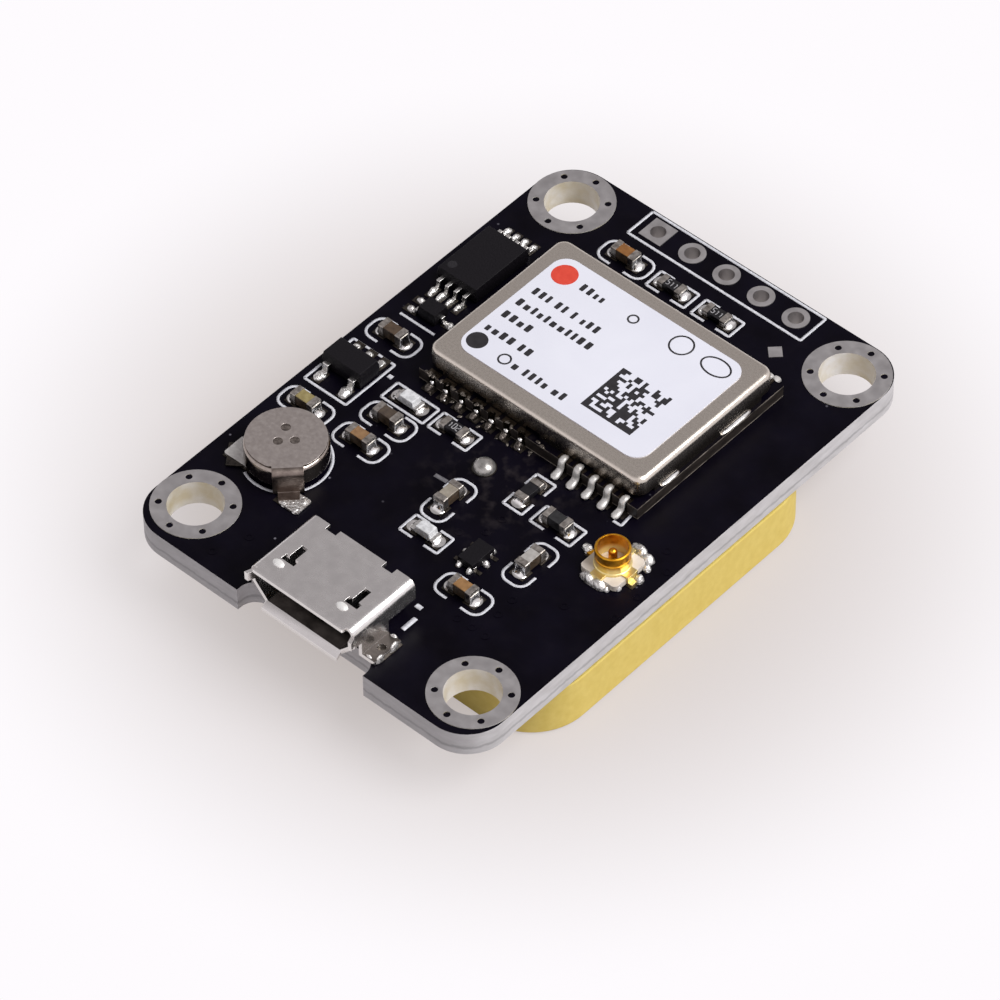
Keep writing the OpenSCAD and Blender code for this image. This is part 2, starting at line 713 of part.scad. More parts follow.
module solder_joints() color("#cfccc8") {
  receiver_spots() fillet(edge_toe, receiver_t * solder_climb, edge_pad_w);
  for (place = CAPACITORS) on_board(place) end_joints(capacitor_size);
  for (place = RESISTORS) on_board(place) end_joints(resistor_size);
  for (place = LAMPS) on_board(place) end_joints(lamp_size);
  on_board(inductor_at) end_joints(inductor_size);
  memory_spots() translate([memory_reach, 0, 0]) fillet(land_toe - land_side, lead_t, memory_lead_w);
  regulator_spots() translate([regulator_reach, 0, 0])
    fillet(land_toe - land_side, lead_t, regulator_lead_w);
  transistor_spots() translate([transistor_reach, 0, 0])
    fillet(land_toe - land_side, lead_t, transistor_lead_w);
  amplifier_spots() fillet(land_toe - land_side, amplifier_contact_h, amplifier_contact_w);
  shield_foot_joints();
  feed_dome();
}

module receiver_board() color("#17151a") on_board(receiver_at) linear_extrude(receiver_t)
  difference() {
    square([receiver_w, receiver_l], center = true);
    for (y = [-1, 1], x = edge_pad_places())
      translate([x, y * receiver_l / 2]) circle(d = edge_notch_d);
  }

// Plated half-round notch and its land on top of the receiver's board, in spot axes
module edge_pad() {
  bore = edge_notch_d - 2 * copper_t;
  linear_extrude(receiver_t) intersection() {
    difference() {
      circle(d = edge_notch_d);
      circle(d = bore);
    }
    translate([-edge_notch_d, -edge_notch_d]) square([edge_notch_d, 2 * edge_notch_d]);
  }
  translate([0, 0, receiver_t]) linear_extrude(copper_t) difference() {
    translate([-edge_pad_l, -edge_pad_w / 2]) square([edge_pad_l, edge_pad_w]);
    circle(d = bore);
  }
}

module receiver_pads() color("#c8b27a") receiver_spots() edge_pad();

module on_receiver() {
  on_board(receiver_at) translate([0, 0, receiver_t]) children();
}

// Folded sheet cap: round bends, relief cuts at the feet of its corners and along its sides
module receiver_shield() color("#9a9184") on_receiver() difference() {
  soft_box(shield_w, shield_l, shield_h, shield_corner, shield_bend);
  translate([0, 0, -over]) linear_extrude(over + shield_h - shield_t)
    rounded_rect(shield_w - 2 * shield_t, shield_l - 2 * shield_t, shield_corner - shield_t);
  for (x = [-1, 1], y = [-1, 1]) translate([x * shield_w / 2, y * shield_l / 2, -over])
    linear_extrude(over + shield_relief_h)
      square(2 * (shield_corner + shield_relief), center = true);
  for (x = [-1, 0, 1]) translate([x * shield_relief_pitch, 0, -over])
    linear_extrude(over + shield_relief_h)
      square([2 * shield_relief, shield_l + over], center = true);
}

// Solder along the feet of the shield's two end walls
module shield_foot_joints() {
  on_receiver() for (turn = [0, 180]) rotate(turn) for (side = [-1, 1])
    translate([shield_w / 2, side * shield_joint_at, 0])
      fillet(shield_end_gap, shield_end_gap, shield_joint_l);
}

module receiver_label() color("#e9e9f2") on_receiver() translate([0, 0, shield_h])
  linear_extrude(label_t) rounded_rect(label_w, label_l, label_corner);

module receiver_chip() color("#2a2a2c") on_receiver() translate(core_at)
  block([core_w, core_w, core_h]);

module receiver_crystal() color("#c6b98e") on_receiver() translate(crystal_at)
  block([crystal_w, crystal_l, crystal_h]);

module receiver_filter() color("#b9a56a") on_receiver() translate(filter_at)
  block([filter_w, filter_l, filter_h]);

module on_usb() {
  translate([usb_x, usb_back, copper_t]) children();
}

module usb_foot_spots() {
  on_usb() for (side = [-1, 1]) translate([side * usb_w / 2, -foot_back - foot_l / 2, 0])
    mirror([(1 - side) / 2, 0, 0]) children();
}

// Lips that open outwards round the socket's mouth
module usb_lips() {
  side_z = usb_knee + usb_t;
  rotate([90, 0, 90]) linear_extrude(usb_w - 2 * usb_bend, center = true) polygon([
    [-usb_straight, usb_h - usb_t], [-usb_straight, usb_h],
    [-usb_l, usb_h + usb_flare], [-usb_l, usb_h + usb_flare - usb_t]
  ]);
  rotate([90, 0, 90]) linear_extrude(usb_floor_w, center = true) polygon([
    [-usb_straight, 0], [-usb_straight, usb_t],
    [-usb_l, usb_t - usb_drop], [-usb_l, -usb_drop]
  ]);
  for (side = [-1, 1]) translate([0, 0, side_z])
    linear_extrude(usb_h - usb_bend - side_z) polygon([
      [side * (usb_w / 2 - usb_t), -usb_straight], [side * usb_w / 2, -usb_straight],
      [side * (usb_w / 2 + usb_flare), -usb_l], [side * (usb_w / 2 + usb_flare - usb_t), -usb_l]
    ]);
}

// Solder foot bent out of the shell's side, with a solder hole
module usb_foot() {
  difference() {
    upright(foot_l) polygon([
      [-usb_t, 0], [foot_reach, 0], [foot_reach, usb_t], [0, usb_t],
      [0, usb_knee + usb_t], [-usb_t, usb_knee + usb_t]
    ]);
    translate([foot_reach / 2, 0, -over]) cylinder(d = foot_hole_d, h = usb_t + 2 * over);
  }
}

module usb_shell() color("#a3a09f") difference() {
  union() {
    on_usb() rotate([90, 0, 0]) linear_extrude(usb_straight) difference() {
      polygon(usb_section(0));
      polygon(usb_section(usb_t));
    }
    on_usb() usb_lips();
    usb_foot_spots() usb_foot();
  }
  on_usb() translate([-usb_tail_gap / 2, -2 * usb_t, -over])
    cube([usb_tail_gap, 2 * usb_t + over, 2 * over]);
  on_usb() translate([0, 0, usb_h - usb_t - usb_fit])
    linear_extrude(usb_t + over) for (side = [-1, 1]) {
      translate([side * latch_x - latch_stem_w / 2, -latch_back - latch_stem_l])
        square([latch_stem_w, latch_stem_l]);
      translate([side * latch_x - latch_bar_w / 2, -latch_back - latch_stem_l - latch_bar_l / 2])
        square([latch_bar_w, latch_bar_l]);
      translate([side * rear_notch_x - rear_notch_w / 2, -rear_notch_l])
        square([rear_notch_w, rear_notch_l + over]);
    }
}

// Contact strip: along the tongue's underside, through the block, down and out to its tail
module usb_contact() {
  tip = -usb_straight + usb_tongue_inset + usb_t;
  back = -usb_t;
  rotate([90, 0, 90]) linear_extrude(usb_contact_w, center = true) polygon([
    [tip, usb_tongue_z], [back, usb_tongue_z], [back, 0], [usb_tail, 0],
    [usb_tail, usb_contact_t], [back + usb_contact_t, usb_contact_t],
    [back + usb_contact_t, usb_tongue_z + usb_contact_t], [tip, usb_tongue_z + usb_contact_t]
  ]);
}

module usb_contacts() color("#c9a24a") usb_tail_spots() usb_contact();

module usb_insulator() color("#1b1b1d") difference() {
  on_usb() {
    translate([0, -usb_t, 0]) rotate([90, 0, 0]) linear_extrude(usb_block_l)
      polygon(usb_section(usb_t + usb_fit));
    translate([-usb_tongue_w / 2, -usb_straight + usb_tongue_inset, usb_tongue_z])
      cube([usb_tongue_w, usb_straight - usb_tongue_inset - usb_t, usb_tongue_t]);
  }
  usb_contacts();
}

module on_cell() {
  on_board(cell_at) translate([0, 0, tab_t]) children();
}

module cell_can() color("#857d78") on_cell() rotate_extrude() difference() {
  union() {
    translate([0, cell_rim]) square([cell_d / 2, cell_h - cell_rim - cell_edge]);
    square([cell_d / 2 - cell_edge, cell_h]);
    translate([cell_d / 2 - cell_edge, cell_h - cell_edge]) intersection() {
      circle(cell_edge);
      square(cell_edge);
    }
  }
  translate([0, -over]) square([cell_bore_r, cell_roof + over]);
  translate([0, -over]) square([cell_d, cell_rim + over]);
}

module cell_gasket() color("#2b2a2a") on_cell() translate([0, 0, cell_rim / 2]) difference() {
  cylinder(r = cell_bore_r, h = cell_roof - cell_rim / 2);
  translate([0, 0, -over]) cylinder(d = cell_cap_d, h = cell_roof + 2 * over);
}

module cell_cap() color("#b3b0ac") on_cell() cylinder(d = cell_cap_d, h = cell_roof);

// Weld spots: one behind the cell's middle and two ahead of it, in the tab's own axes
module weld_spots() {
  for (spot = [[-weld_back, 0], [weld_front, -weld_side], [weld_front, weld_side]])
    translate(spot) children();
}

module cell_upper_tab() color("#8d8681") on_board(cell_at) {
  face = cell_d / 2 + tab_gap;
  top = tab_t + cell_h;
  middle = [face + tab_t - tab_bend, top + tab_t - tab_bend];
  difference() {
    translate([0, 0, top]) linear_extrude(tab_t) {
      intersection() {
        circle(d = plate_d);
        translate([-plate_d, -plate_d]) square([plate_d + plate_edge, 2 * plate_d]);
      }
      translate([0, -tab_w / 2]) square([middle[0], tab_w]);
    }
    weld_spots() translate([0, 0, top + tab_t - weld_depth]) cylinder(d = weld_d, h = over);
  }
  upright(tab_w) polygon(concat(
    bend_line(middle, tab_bend, 90, 0), [[face + tab_t, 0], [face, 0]],
    bend_line(middle, tab_bend - tab_t, 0, 90)
  ));
  translate([face + tab_t, -tab_foot_w / 2, 0]) cube([tab_foot_l, tab_foot_w, tab_t]);
}

module cell_lower_tab() color("#b5b2ae") on_board(cell_at) rotate(lower_tab_turn - cell_at[2])
  translate([-lower_tab_back, -lower_tab_w / 2, 0])
    cube([lower_tab_l + lower_tab_back, lower_tab_w, tab_t]);

// Lands under the cell's tabs, square to the board
module cell_lands() {
  upper_r = cell_d / 2 + tab_gap + tab_t + tab_foot_l * 3 / 4;
  translate([cell_at[0] + upper_r * cos(cell_at[2]), cell_at[1] + upper_r * sin(cell_at[2]), copper_t])
    land(tab_foot_l + 2 * land_toe - land_side, tab_foot_w);
  translate([
    cell_at[0] + lower_land_at * cos(lower_tab_turn),
    cell_at[1] + lower_land_at * sin(lower_tab_turn), copper_t
  ]) land(lower_tab_w + 2 * land_toe, lower_tab_w + 2 * land_side);
}

module socket_leg_spots() {
  on_board(socket_at) for (turn = [-90, 0, 90]) rotate(turn) children();
}

module socket_base() color("#d8cec4") difference() {
  on_board(socket_at) linear_extrude(socket_base_h)
    rounded_rect(socket_base_w, socket_base_w, socket_base_r);
  socket_pin();
}

// Leg of the ring: across the base, down its side and out to a foot
module socket_leg() {
  side = socket_base_w / 2;
  upright(socket_leg_w) polygon([
    [socket_ring_d / 2 - socket_ring_t, socket_base_h], [side, socket_base_h], [side, 0],
    [side + socket_foot_l, 0], [side + socket_foot_l, socket_ring_t],
    [side + socket_ring_t, socket_ring_t], [side + socket_ring_t, socket_base_h + socket_ring_t],
    [socket_ring_d / 2 - socket_ring_t, socket_base_h + socket_ring_t]
  ]);
}

module socket_ring() color("#b8821c") {
  outer = socket_ring_d / 2;
  inner = outer - socket_ring_t;
  middle = (socket_base_h + socket_h) / 2;
  difference() {
    union() {
      on_board(socket_at) rotate_extrude() polygon([
        [inner, socket_base_h], [outer + socket_groove, socket_base_h],
        [outer + socket_groove, socket_base_h + socket_ring_t],
        [outer, socket_base_h + socket_ring_t + socket_groove],
        [outer, middle], [outer - socket_groove, middle + socket_groove],
        [outer, middle + 2 * socket_groove], [outer, socket_h - socket_groove],
        [outer - socket_groove, socket_h], [inner, socket_h]
      ]);
      socket_leg_spots() socket_leg();
    }
    on_board(socket_at) cylinder(r = inner, h = socket_h + over);
  }
}

module socket_pin() color("#c8922a") on_board(socket_at) {
  tip_z = socket_h - socket_pin_drop - socket_pin_d / 2;
  cylinder(d = socket_pin_d, h = tip_z);
  translate([0, 0, tip_z]) sphere(d = socket_pin_d);
  translate([-socket_base_w / 2 - socket_foot_l, -socket_tail_w / 2, 0])
    cube([socket_base_w / 2 + socket_foot_l, socket_tail_w, socket_ring_t]);
}

// Sheet of a given height in from the ceramic's edges, with round corners
module aerial_sheet(margin, z, h) {
  translate([0, aerial_y, z]) linear_extrude(h)
    rounded_rect(aerial_w - 2 * margin, aerial_l - 2 * margin, aerial_corner - margin);
}

// Opening of a given diameter round the feed pin, right through a layer
module feed_cut(d, z, h) {
  translate([feed_at[0], feed_at[1], z]) cylinder(d = d, h = h);
}

module aerial_ceramic() color("#dcc46a") difference() {
  aerial_sheet(0, ceramic_bottom, aerial_t);
  feed_cut(feed_d + 2 * feed_clear, ceramic_bottom - over, aerial_t + 2 * over);
  feed_cut(feed_head_d, patch_bottom - over, over + feed_head_t);
}

module aerial_patch() color("#c9c9c6") difference() {
  patch_w = aerial_w - 2 * patch_margin;
  patch_l = aerial_l - 2 * patch_margin;
  translate([0, aerial_y, patch_bottom]) linear_extrude(silver_t) intersection() {
    square([patch_w, patch_l], center = true);
    rotate(45) square((patch_w + patch_l - 2 * patch_trim) / sqrt(2), center = true);
  }
  feed_cut(feed_head_d, patch_bottom - over, silver_t + 2 * over);
}

module aerial_ground() color("#c4c4c0") difference() {
  aerial_sheet(ground_margin, ceramic_top, silver_t);
  feed_cut(feed_d + 2 * feed_gap, ceramic_top - over, silver_t + 2 * over);
}

module aerial_tape() color("#e2dccb") difference() {
  aerial_sheet(tape_margin, ground_top, tape_t);
  feed_cut(feed_d + 2 * feed_gap, ground_top - over, tape_t + 2 * over);
}

module aerial_pin() color("#bdbab5") {
  feed_cut(feed_d, patch_bottom, feed_tip - patch_bottom);
  feed_cut(feed_head_d, patch_bottom, feed_head_t);
}

// Moulded chip body, widest at half height
module moulded_body(size) {
  half_h = size[2] / 2;
  intersection() {
    upright(size[1]) moulded_section(size[0], half_h);
    rotate(90) upright(size[0]) moulded_section(size[1], half_h);
  }
}

module moulded_section(w, half_h) {
  polygon([
    [chip_draft - w / 2, 0], [w / 2 - chip_draft, 0], [w / 2, half_h],
    [w / 2 - chip_draft, 2 * half_h], [chip_draft - w / 2, 2 * half_h], [-w / 2, half_h]
  ]);
}

// Lead of a chip: out of its side at half height, down and out along its land
module gull_lead(w, reach, body_h) {
  top = body_h / 2 + lead_t / 2;
  knee = reach - lead_foot - lead_lean;
  upright(w) polygon([
    [-lead_root, top], [knee, top], [knee + lead_lean, lead_t], [reach, lead_t], [reach, 0],
    [knee + lead_lean - lead_t, 0], [knee - lead_t, top - lead_t], [-lead_root, top - lead_t]
  ]);
}

// Lead places of a two-sided chip: places along its front and back sides, in pitches
module chip_spots(place, size, pitch, front, back) {
  on_board(place) {
    for (i = front) translate([i * pitch, -size[1] / 2, 0]) rotate(-90) children();
    for (i = back) translate([i * pitch, size[1] / 2, 0]) rotate(90) children();
  }
}

module memory_spots() {
  four = [-1.5, -0.5, 0.5, 1.5];
  chip_spots(memory_at, memory_size, memory_pitch, four, four) children();
}

module regulator_spots() {
  chip_spots(regulator_at, regulator_size, regulator_pitch, [-1, 1], [-1, 0, 1]) children();
}

module transistor_spots() {
  chip_spots(transistor_at, transistor_size, transistor_pitch, [-0.5, 0.5], [0]) children();
}

module amplifier_spots() {
  chip_spots(amplifier_at, amplifier_size, amplifier_pitch, [-1, 0, 1], [-1, 0, 1]) children();
}

module memory_leads() color("#c4c2bf") memory_spots()
  gull_lead(memory_lead_w, memory_reach, memory_size[2]);

module memory_chip() color("#26242a") difference() {
  on_board(memory_at) moulded_body(memory_size);
  memory_leads();
}

module regulator_leads() color("#c4c2bf") regulator_spots()
  gull_lead(regulator_lead_w, regulator_reach, regulator_size[2]);

module regulator() color("#26242a") difference() {
  on_board(regulator_at) moulded_body(regulator_size);
  regulator_leads();
}

module transistor_leads() color("#c4c2bf") transistor_spots()
  gull_lead(transistor_lead_w, transistor_reach, transistor_size[2]);

module transistor() color("#26242a") difference() {
  on_board(transistor_at) moulded_body(transistor_size);
  transistor_leads();
}

module amplifier_contacts() color("#c4c2bf") amplifier_spots()
  translate([-amplifier_contact_l, -amplifier_contact_w / 2, 0])
    cube([amplifier_contact_l, amplifier_contact_w, amplifier_contact_h]);

module amplifier() color("#1f1d22") difference() {
  on_board(amplifier_at) block(amplifier_size);
  amplifier_contacts();
}

// Inner block of a small part, inside its end caps
module chip_core(size) {
  translate([cap_t - size[0] / 2, cap_t - size[1] / 2, cap_t])
    cube([size[0] - 2 * cap_t, size[1] - 2 * cap_t, size[2] - 2 * cap_t]);
}

// Metal caps wrapped round both ends of a small part
module end_caps(size, band = cap_band) {
  difference() {
    for (side = [-1, 1]) translate([side * (size[0] - band) / 2, 0, size[2] / 2])
      rotate([90, 0, 90]) linear_extrude(band, center = true)
        rounded_rect(size[1], size[2], cap_edge);
    chip_core(size);
  }
}

module capacitor(place, tint) {
  color(tint) on_board(place) chip_core(capacitor_size);
}

module capacitor_1() capacitor(capacitor_1_at, "#8a5a2a");

module capacitor_2() capacitor(capacitor_2_at, "#5a4331");

module capacitor_3() capacitor(capacitor_3_at, "#a8935a");

module capacitor_4() capacitor(capacitor_4_at, "#4a3d33");

module capacitor_5() capacitor(capacitor_5_at, "#8d6a48");

module capacitor_6() capacitor(capacitor_6_at, "#9b9286");

module capacitor_7() capacitor(capacitor_7_at, "#8f8882");

module capacitor_8() capacitor(capacitor_8_at, "#8f6b45");

module capacitor_caps() color("#b4b1ac")
  for (place = CAPACITORS) on_board(place) end_caps(capacitor_size);

module resistor(place) {
  color("#1d1c1f") on_board(place) chip_core(resistor_size);
}

module resistor_1() resistor(resistor_1_at);

module resistor_2() resistor(resistor_2_at);

module resistor_3() resistor(resistor_3_at);

module resistor_4() resistor(resistor_4_at);

module resistor_caps() color("#bdbab6")
  for (place = RESISTORS) on_board(place) end_caps(resistor_size);

module inductor() color("#3a3a3c") on_board(inductor_at) chip_core(inductor_size);

module inductor_caps() color("#b4b1ac") on_board(inductor_at) end_caps(inductor_size);

// Indicator lamp: a flat base and a lens that narrows towards its top
module lamp(place) {
  foot = lamp_size[0] - 2 * lamp_band - 2 * cap_t;
  color("#e8e4d8") on_board(place) {
    chip_core(lamp_size);
    translate([0, 0, lamp_size[2] - cap_t]) upright(lamp_size[1] - 2 * cap_t) polygon([
      [-foot / 2, 0], [foot / 2, 0], [foot / 2 - cap_edge, lens_h], [cap_edge - foot / 2, lens_h]
    ]);
  }
}

module lamp_1() lamp(lamp_1_at);

module lamp_2() lamp(lamp_2_at);

module lamp_caps() color("#c9b27a") for (place = LAMPS)
  on_board(place) end_caps(lamp_size, lamp_band);

circuit_board();
mounting_rings();
header_pads();
solder_lands();
solder_joints();
receiver_board();
receiver_pads();
receiver_shield();
receiver_label();
receiver_chip();
receiver_crystal();
receiver_filter();
usb_shell();
usb_insulator();
usb_contacts();
cell_can();
cell_gasket();
cell_cap();
cell_upper_tab();
cell_lower_tab();
socket_base();
socket_ring();
socket_pin();
aerial_ceramic();
aerial_patch();
aerial_ground();
aerial_tape();
aerial_pin();
memory_chip();
memory_leads();
regulator();
regulator_leads();
transistor();
transistor_leads();
amplifier();
amplifier_contacts();
capacitor_1();
capacitor_2();
capacitor_3();
capacitor_4();
capacitor_5();
capacitor_6();
capacitor_7();
capacitor_8();
capacitor_caps();
resistor_1();
resistor_2();
resistor_3();
resistor_4();
resistor_caps();
inductor();
inductor_caps();
lamp_1();
lamp_2();
lamp_caps();
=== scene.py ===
import json
import math
import random

import bmesh
import bpy
from mathutils import Matrix, Vector


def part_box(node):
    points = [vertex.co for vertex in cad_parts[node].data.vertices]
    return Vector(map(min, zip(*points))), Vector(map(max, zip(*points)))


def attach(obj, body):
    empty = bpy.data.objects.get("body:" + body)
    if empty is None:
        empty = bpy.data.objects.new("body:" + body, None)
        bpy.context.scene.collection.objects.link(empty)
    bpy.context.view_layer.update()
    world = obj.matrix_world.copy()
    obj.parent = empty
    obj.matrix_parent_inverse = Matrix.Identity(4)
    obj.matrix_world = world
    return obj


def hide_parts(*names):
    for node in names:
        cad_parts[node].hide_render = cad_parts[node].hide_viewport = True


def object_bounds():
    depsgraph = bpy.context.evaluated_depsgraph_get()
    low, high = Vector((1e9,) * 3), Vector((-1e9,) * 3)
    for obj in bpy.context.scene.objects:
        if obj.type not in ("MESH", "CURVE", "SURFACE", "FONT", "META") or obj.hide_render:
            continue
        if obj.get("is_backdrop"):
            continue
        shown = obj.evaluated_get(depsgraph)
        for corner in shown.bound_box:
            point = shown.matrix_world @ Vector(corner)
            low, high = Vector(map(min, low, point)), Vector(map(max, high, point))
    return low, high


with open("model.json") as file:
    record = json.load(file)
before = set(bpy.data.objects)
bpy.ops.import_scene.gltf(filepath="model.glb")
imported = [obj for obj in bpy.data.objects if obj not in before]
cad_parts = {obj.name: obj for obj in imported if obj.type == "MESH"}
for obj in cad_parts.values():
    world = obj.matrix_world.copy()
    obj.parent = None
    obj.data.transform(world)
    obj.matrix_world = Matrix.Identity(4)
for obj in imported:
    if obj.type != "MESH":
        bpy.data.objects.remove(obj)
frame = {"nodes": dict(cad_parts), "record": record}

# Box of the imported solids, kept before anything is added
solid_low, solid_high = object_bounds()

MM = 0.001
BODY = "root"
NODES = frame["nodes"]
SLOT_OF = {part["node"]: part["material_slot"] for part in frame["record"]["subparts"]}
scene = bpy.context.scene
scene.view_settings.view_transform = "Standard"

# Camera at the photograph's own place, in millimetres of the board's frame
EYE = Vector((161.69, -176.92, 259.38))
AHEAD = Vector((-0.456, 0.4932, -0.7408)).normalized()
RIGHT = Vector((0.7431, 0.6691, -0.0119))
LENS = 232.1
SENSOR = 36.0

lens = bpy.data.cameras.new("camera")
lens.lens = LENS
lens.sensor_width = SENSOR
lens.clip_start = 0.01
lens.clip_end = 20.0
camera = bpy.data.objects.new("camera", lens)
scene.collection.objects.link(camera)
right = (RIGHT - AHEAD * RIGHT.dot(AHEAD)).normalized()
upward = right.cross(AHEAD)
turn = Matrix((right, upward, -AHEAD)).transposed().to_4x4()
camera.matrix_world = Matrix.Translation(EYE * MM) @ turn
scene.camera = camera


def box_of(node):
    """Middle and size of a solid's box, in mm."""
    low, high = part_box(node)
    return (low + high) / 2 / MM, (high - low) / MM


def paint(code):
    """sRGB hex colour as linear RGBA."""
    shares = [int(code[i:i + 2], 16) / 255 for i in (1, 3, 5)]
    return [s / 12.92 if s <= 0.04045 else ((s + 0.055) / 1.055) ** 2.4 for s in shares] + [1.0]


def every(size):
    """Texture scale of a pattern that repeats every so many millimetres."""
    return 1 / (size * MM)


# Inputs are named or numbered. A Map Range takes its value at 0, its old range at 1 and 2, and its new range
# at 3 and 4. A Mix takes its share at 0 and its two colours at 6 and 7
def add(tree, kind, inputs=None, **settings):
    """Adds a node, sets its fields, and fills or links its inputs."""
    made = tree.nodes.new(kind)
    for name, value in settings.items():
        setattr(made, name, value)
    for key, value in (inputs or {}).items():
        if isinstance(value, bpy.types.NodeSocket):
            tree.links.new(value, made.inputs[key])
        else:
            made.inputs[key].default_value = value
    return made


def finish(name, dark, light, grain, rough, relief=0.0, stretch=(1, 1, 1), **sockets):
    """A material whose colour and gloss drift between two values over a grain of so many mm."""
    made = bpy.data.materials.new(name)
    made.use_nodes = True
    tree = made.node_tree
    tree.nodes.clear()
    where = add(tree, "ShaderNodeTexCoord").outputs["Object"]
    laid = add(tree, "ShaderNodeMapping", {"Vector": where, "Scale": stretch}).outputs[0]
    cloud = add(tree, "ShaderNodeTexNoise", {"Vector": laid, "Scale": every(grain), "Detail": 4.0})
    drift = add(tree, "ShaderNodeMapRange", {0: cloud.outputs[0], 1: 0.3, 2: 0.7}).outputs[0]
    tone = add(tree, "ShaderNodeMix", {0: drift, 6: paint(dark), 7: paint(light)}, data_type="RGBA")
    gloss = add(tree, "ShaderNodeMapRange", {0: drift, 3: rough[0], 4: rough[1]})
    named = {key.replace("_", " "): value for key, value in sockets.items()}
    shader = add(tree, "ShaderNodeBsdfPrincipled",
                 {"Base Color": tone.outputs[2], "Roughness": gloss.outputs[0], **named})
    if relief:
        bump = add(tree, "ShaderNodeBump", {"Height": drift, "Distance": relief * MM})
        tree.links.new(bump.outputs[0], shader.inputs["Normal"])
    add(tree, "ShaderNodeOutputMaterial", {"Surface": shader.outputs[0]})
    return made


def stain(coat, share, code):
    """Lays a second colour over a material's own, as far as the share goes."""
    tree = coat.node_tree
    base = tree.nodes["Principled BSDF"].inputs["Base Color"]
    own = base.links[0].from_socket
    laid = add(tree, "ShaderNodeMix", {0: share, 6: own, 7: paint(code)}, data_type="RGBA")
    tree.links.new(laid.outputs[2], base)


def low_share(coat, low, high, most):
    """Share that falls from most to nothing between two heights in mm."""
    tree = coat.node_tree
    lie = add(tree, "ShaderNodeSeparateXYZ", {0: tree.nodes["Texture Coordinate"].outputs["Object"]})
    fall = add(tree, "ShaderNodeMapRange", {0: lie.outputs["Z"], 1: low * MM, 2: high * MM, 3: most, 4: 0.0},
               interpolation_type="SMOOTHSTEP")
    return fall.outputs[0]


def off_level(coat, level, wander=0.0):
    """How far a point lies above or below a level in mm that may wander."""
    tree = coat.node_tree
    lie = add(tree, "ShaderNodeSeparateXYZ", {0: tree.nodes["Texture Coordinate"].outputs["Object"]})
    depth = add(tree, "ShaderNodeMath", {0: lie.outputs["Z"], 1: wander}, operation="ADD")
    off = add(tree, "ShaderNodeMath", {0: depth.outputs[0], 1: level * MM}, operation="SUBTRACT")
    return add(tree, "ShaderNodeMath", {0: off.outputs[0]}, operation="ABSOLUTE").outputs[0]


# Solder mask: epoxy, screened on and cured. Nearly black with a violet cast and a soft gloss, a slight
# orange peel, pale dust, and a dull film of flux round the joints in front of the receiver
FLUX_MID = Vector((1.5, -3.2, 0.0))
FLUX_NEAR, FLUX_FAR = 1.5, 5.5
mask = finish("solder_mask_epoxy", "#040208", "#0a0714", 3.0, (0.3, 0.42), 0.002, Specular_IOR_Level=0.07)
tree = mask.node_tree
where = tree.nodes["Texture Coordinate"].outputs["Object"]
smear = add(tree, "ShaderNodeTexNoise", {"Vector": where, "Scale": every(0.9), "Detail": 6.0})
patchy = add(tree, "ShaderNodeMapRange", {0: smear.outputs[0], 1: 0.5, 2: 0.72})
from_joints = add(tree, "ShaderNodeVectorMath", {0: where, 1: FLUX_MID * MM}, operation="DISTANCE")
close = add(tree, "ShaderNodeMapRange", {
    0: from_joints.outputs["Value"], 1: FLUX_NEAR * MM, 2: FLUX_FAR * MM, 3: 0.55, 4: 0.03})
flux = add(tree, "ShaderNodeMath", {0: patchy.outputs[0], 1: close.outputs[0]}, operation="MULTIPLY")
stain(mask, flux.outputs[0], "#3a3436")
grit = add(tree, "ShaderNodeTexVoronoi", {"Vector": where, "Scale": every(1.3)})
speck = add(tree, "ShaderNodeMapRange", {0: grit.outputs["Distance"], 1: 0.03, 2: 0.07, 3: 1.0, 4: 0.0})
some = add(tree, "ShaderNodeMapRange", {0: grit.outputs["Color"], 1: 0.5, 2: 0.9})
dust = add(tree, "ShaderNodeMath", {0: speck.outputs[0], 1: some.outputs[0]}, operation="MULTIPLY")
stain(mask, dust.outputs[0], "#7b7882")

# Glass-epoxy laminate, routed: a pale grey cut edge, a little cloudy, with a darker ply line low in it
PLY_Z, PLY_WANDER = -1.08, 0.14
laminate = finish("glass_epoxy_laminate", "#bbb8b9", "#d1ced0", 0.8, (0.5, 0.68), 0.012, (0.6, 0.6, 2))
tree = laminate.node_tree
where = tree.nodes["Texture Coordinate"].outputs["Object"]
ragged = add(tree, "ShaderNodeTexNoise", {"Vector": where, "Scale": every(0.45), "Detail": 3.0})
wander = add(tree, "ShaderNodeMapRange", {0: ragged.outputs[0], 3: -PLY_WANDER * MM, 4: PLY_WANDER * MM})
off_ply = off_level(laminate, PLY_Z, wander.outputs[0])
ply = add(tree, "ShaderNodeMapRange", {0: off_ply, 1: 0.02 * MM, 2: 0.14 * MM, 3: 0.45, 4: 0.0})
stain(laminate, ply.outputs[0], "#6f6d70")

# The receiver's thin laminate, cut: dark brown, with a painted pale highlight along its top and bottom
# arrises
receiver_mid, receiver_size = box_of("receiver_board")
dark_laminate = finish("dark_laminate", "#15110f", "#2b2420", 0.4, (0.4, 0.55), 0.006, (0.5, 0.5, 2))
tree = dark_laminate.node_tree
off_middle = off_level(dark_laminate, receiver_mid.z)
arris = add(tree, "ShaderNodeMapRange", {0: off_middle, 1: 0.3 * MM, 2: 0.38 * MM, 3: 0.0, 4: 1.0})
drift = tree.nodes["Map Range"].outputs[0]
# Painted highlight along the arrises, varied by the material's drift
arris_highlight = add(tree, "ShaderNodeMath", {0: arris.outputs[0], 1: drift}, operation="MULTIPLY")
stain(dark_laminate, arris_highlight.outputs[0], "#b9aea2")

# Tinned copper, levelled with hot air: dull pale metal with faint clouding
tin = finish("tinned_copper", "#b6b3b3", "#c4c1c1", 0.7, (0.4, 0.5), 0.002, Metallic=1.0)
# Plating inside the holes: pale and dull, with the white floor's reflection painted in, and yellow streaks
barrel_tin_floor_reflection = finish("barrel_plating", "#d6cbb0", "#f0eeec", 1.3, (0.45, 0.6), 0.004, Metallic=0.3)
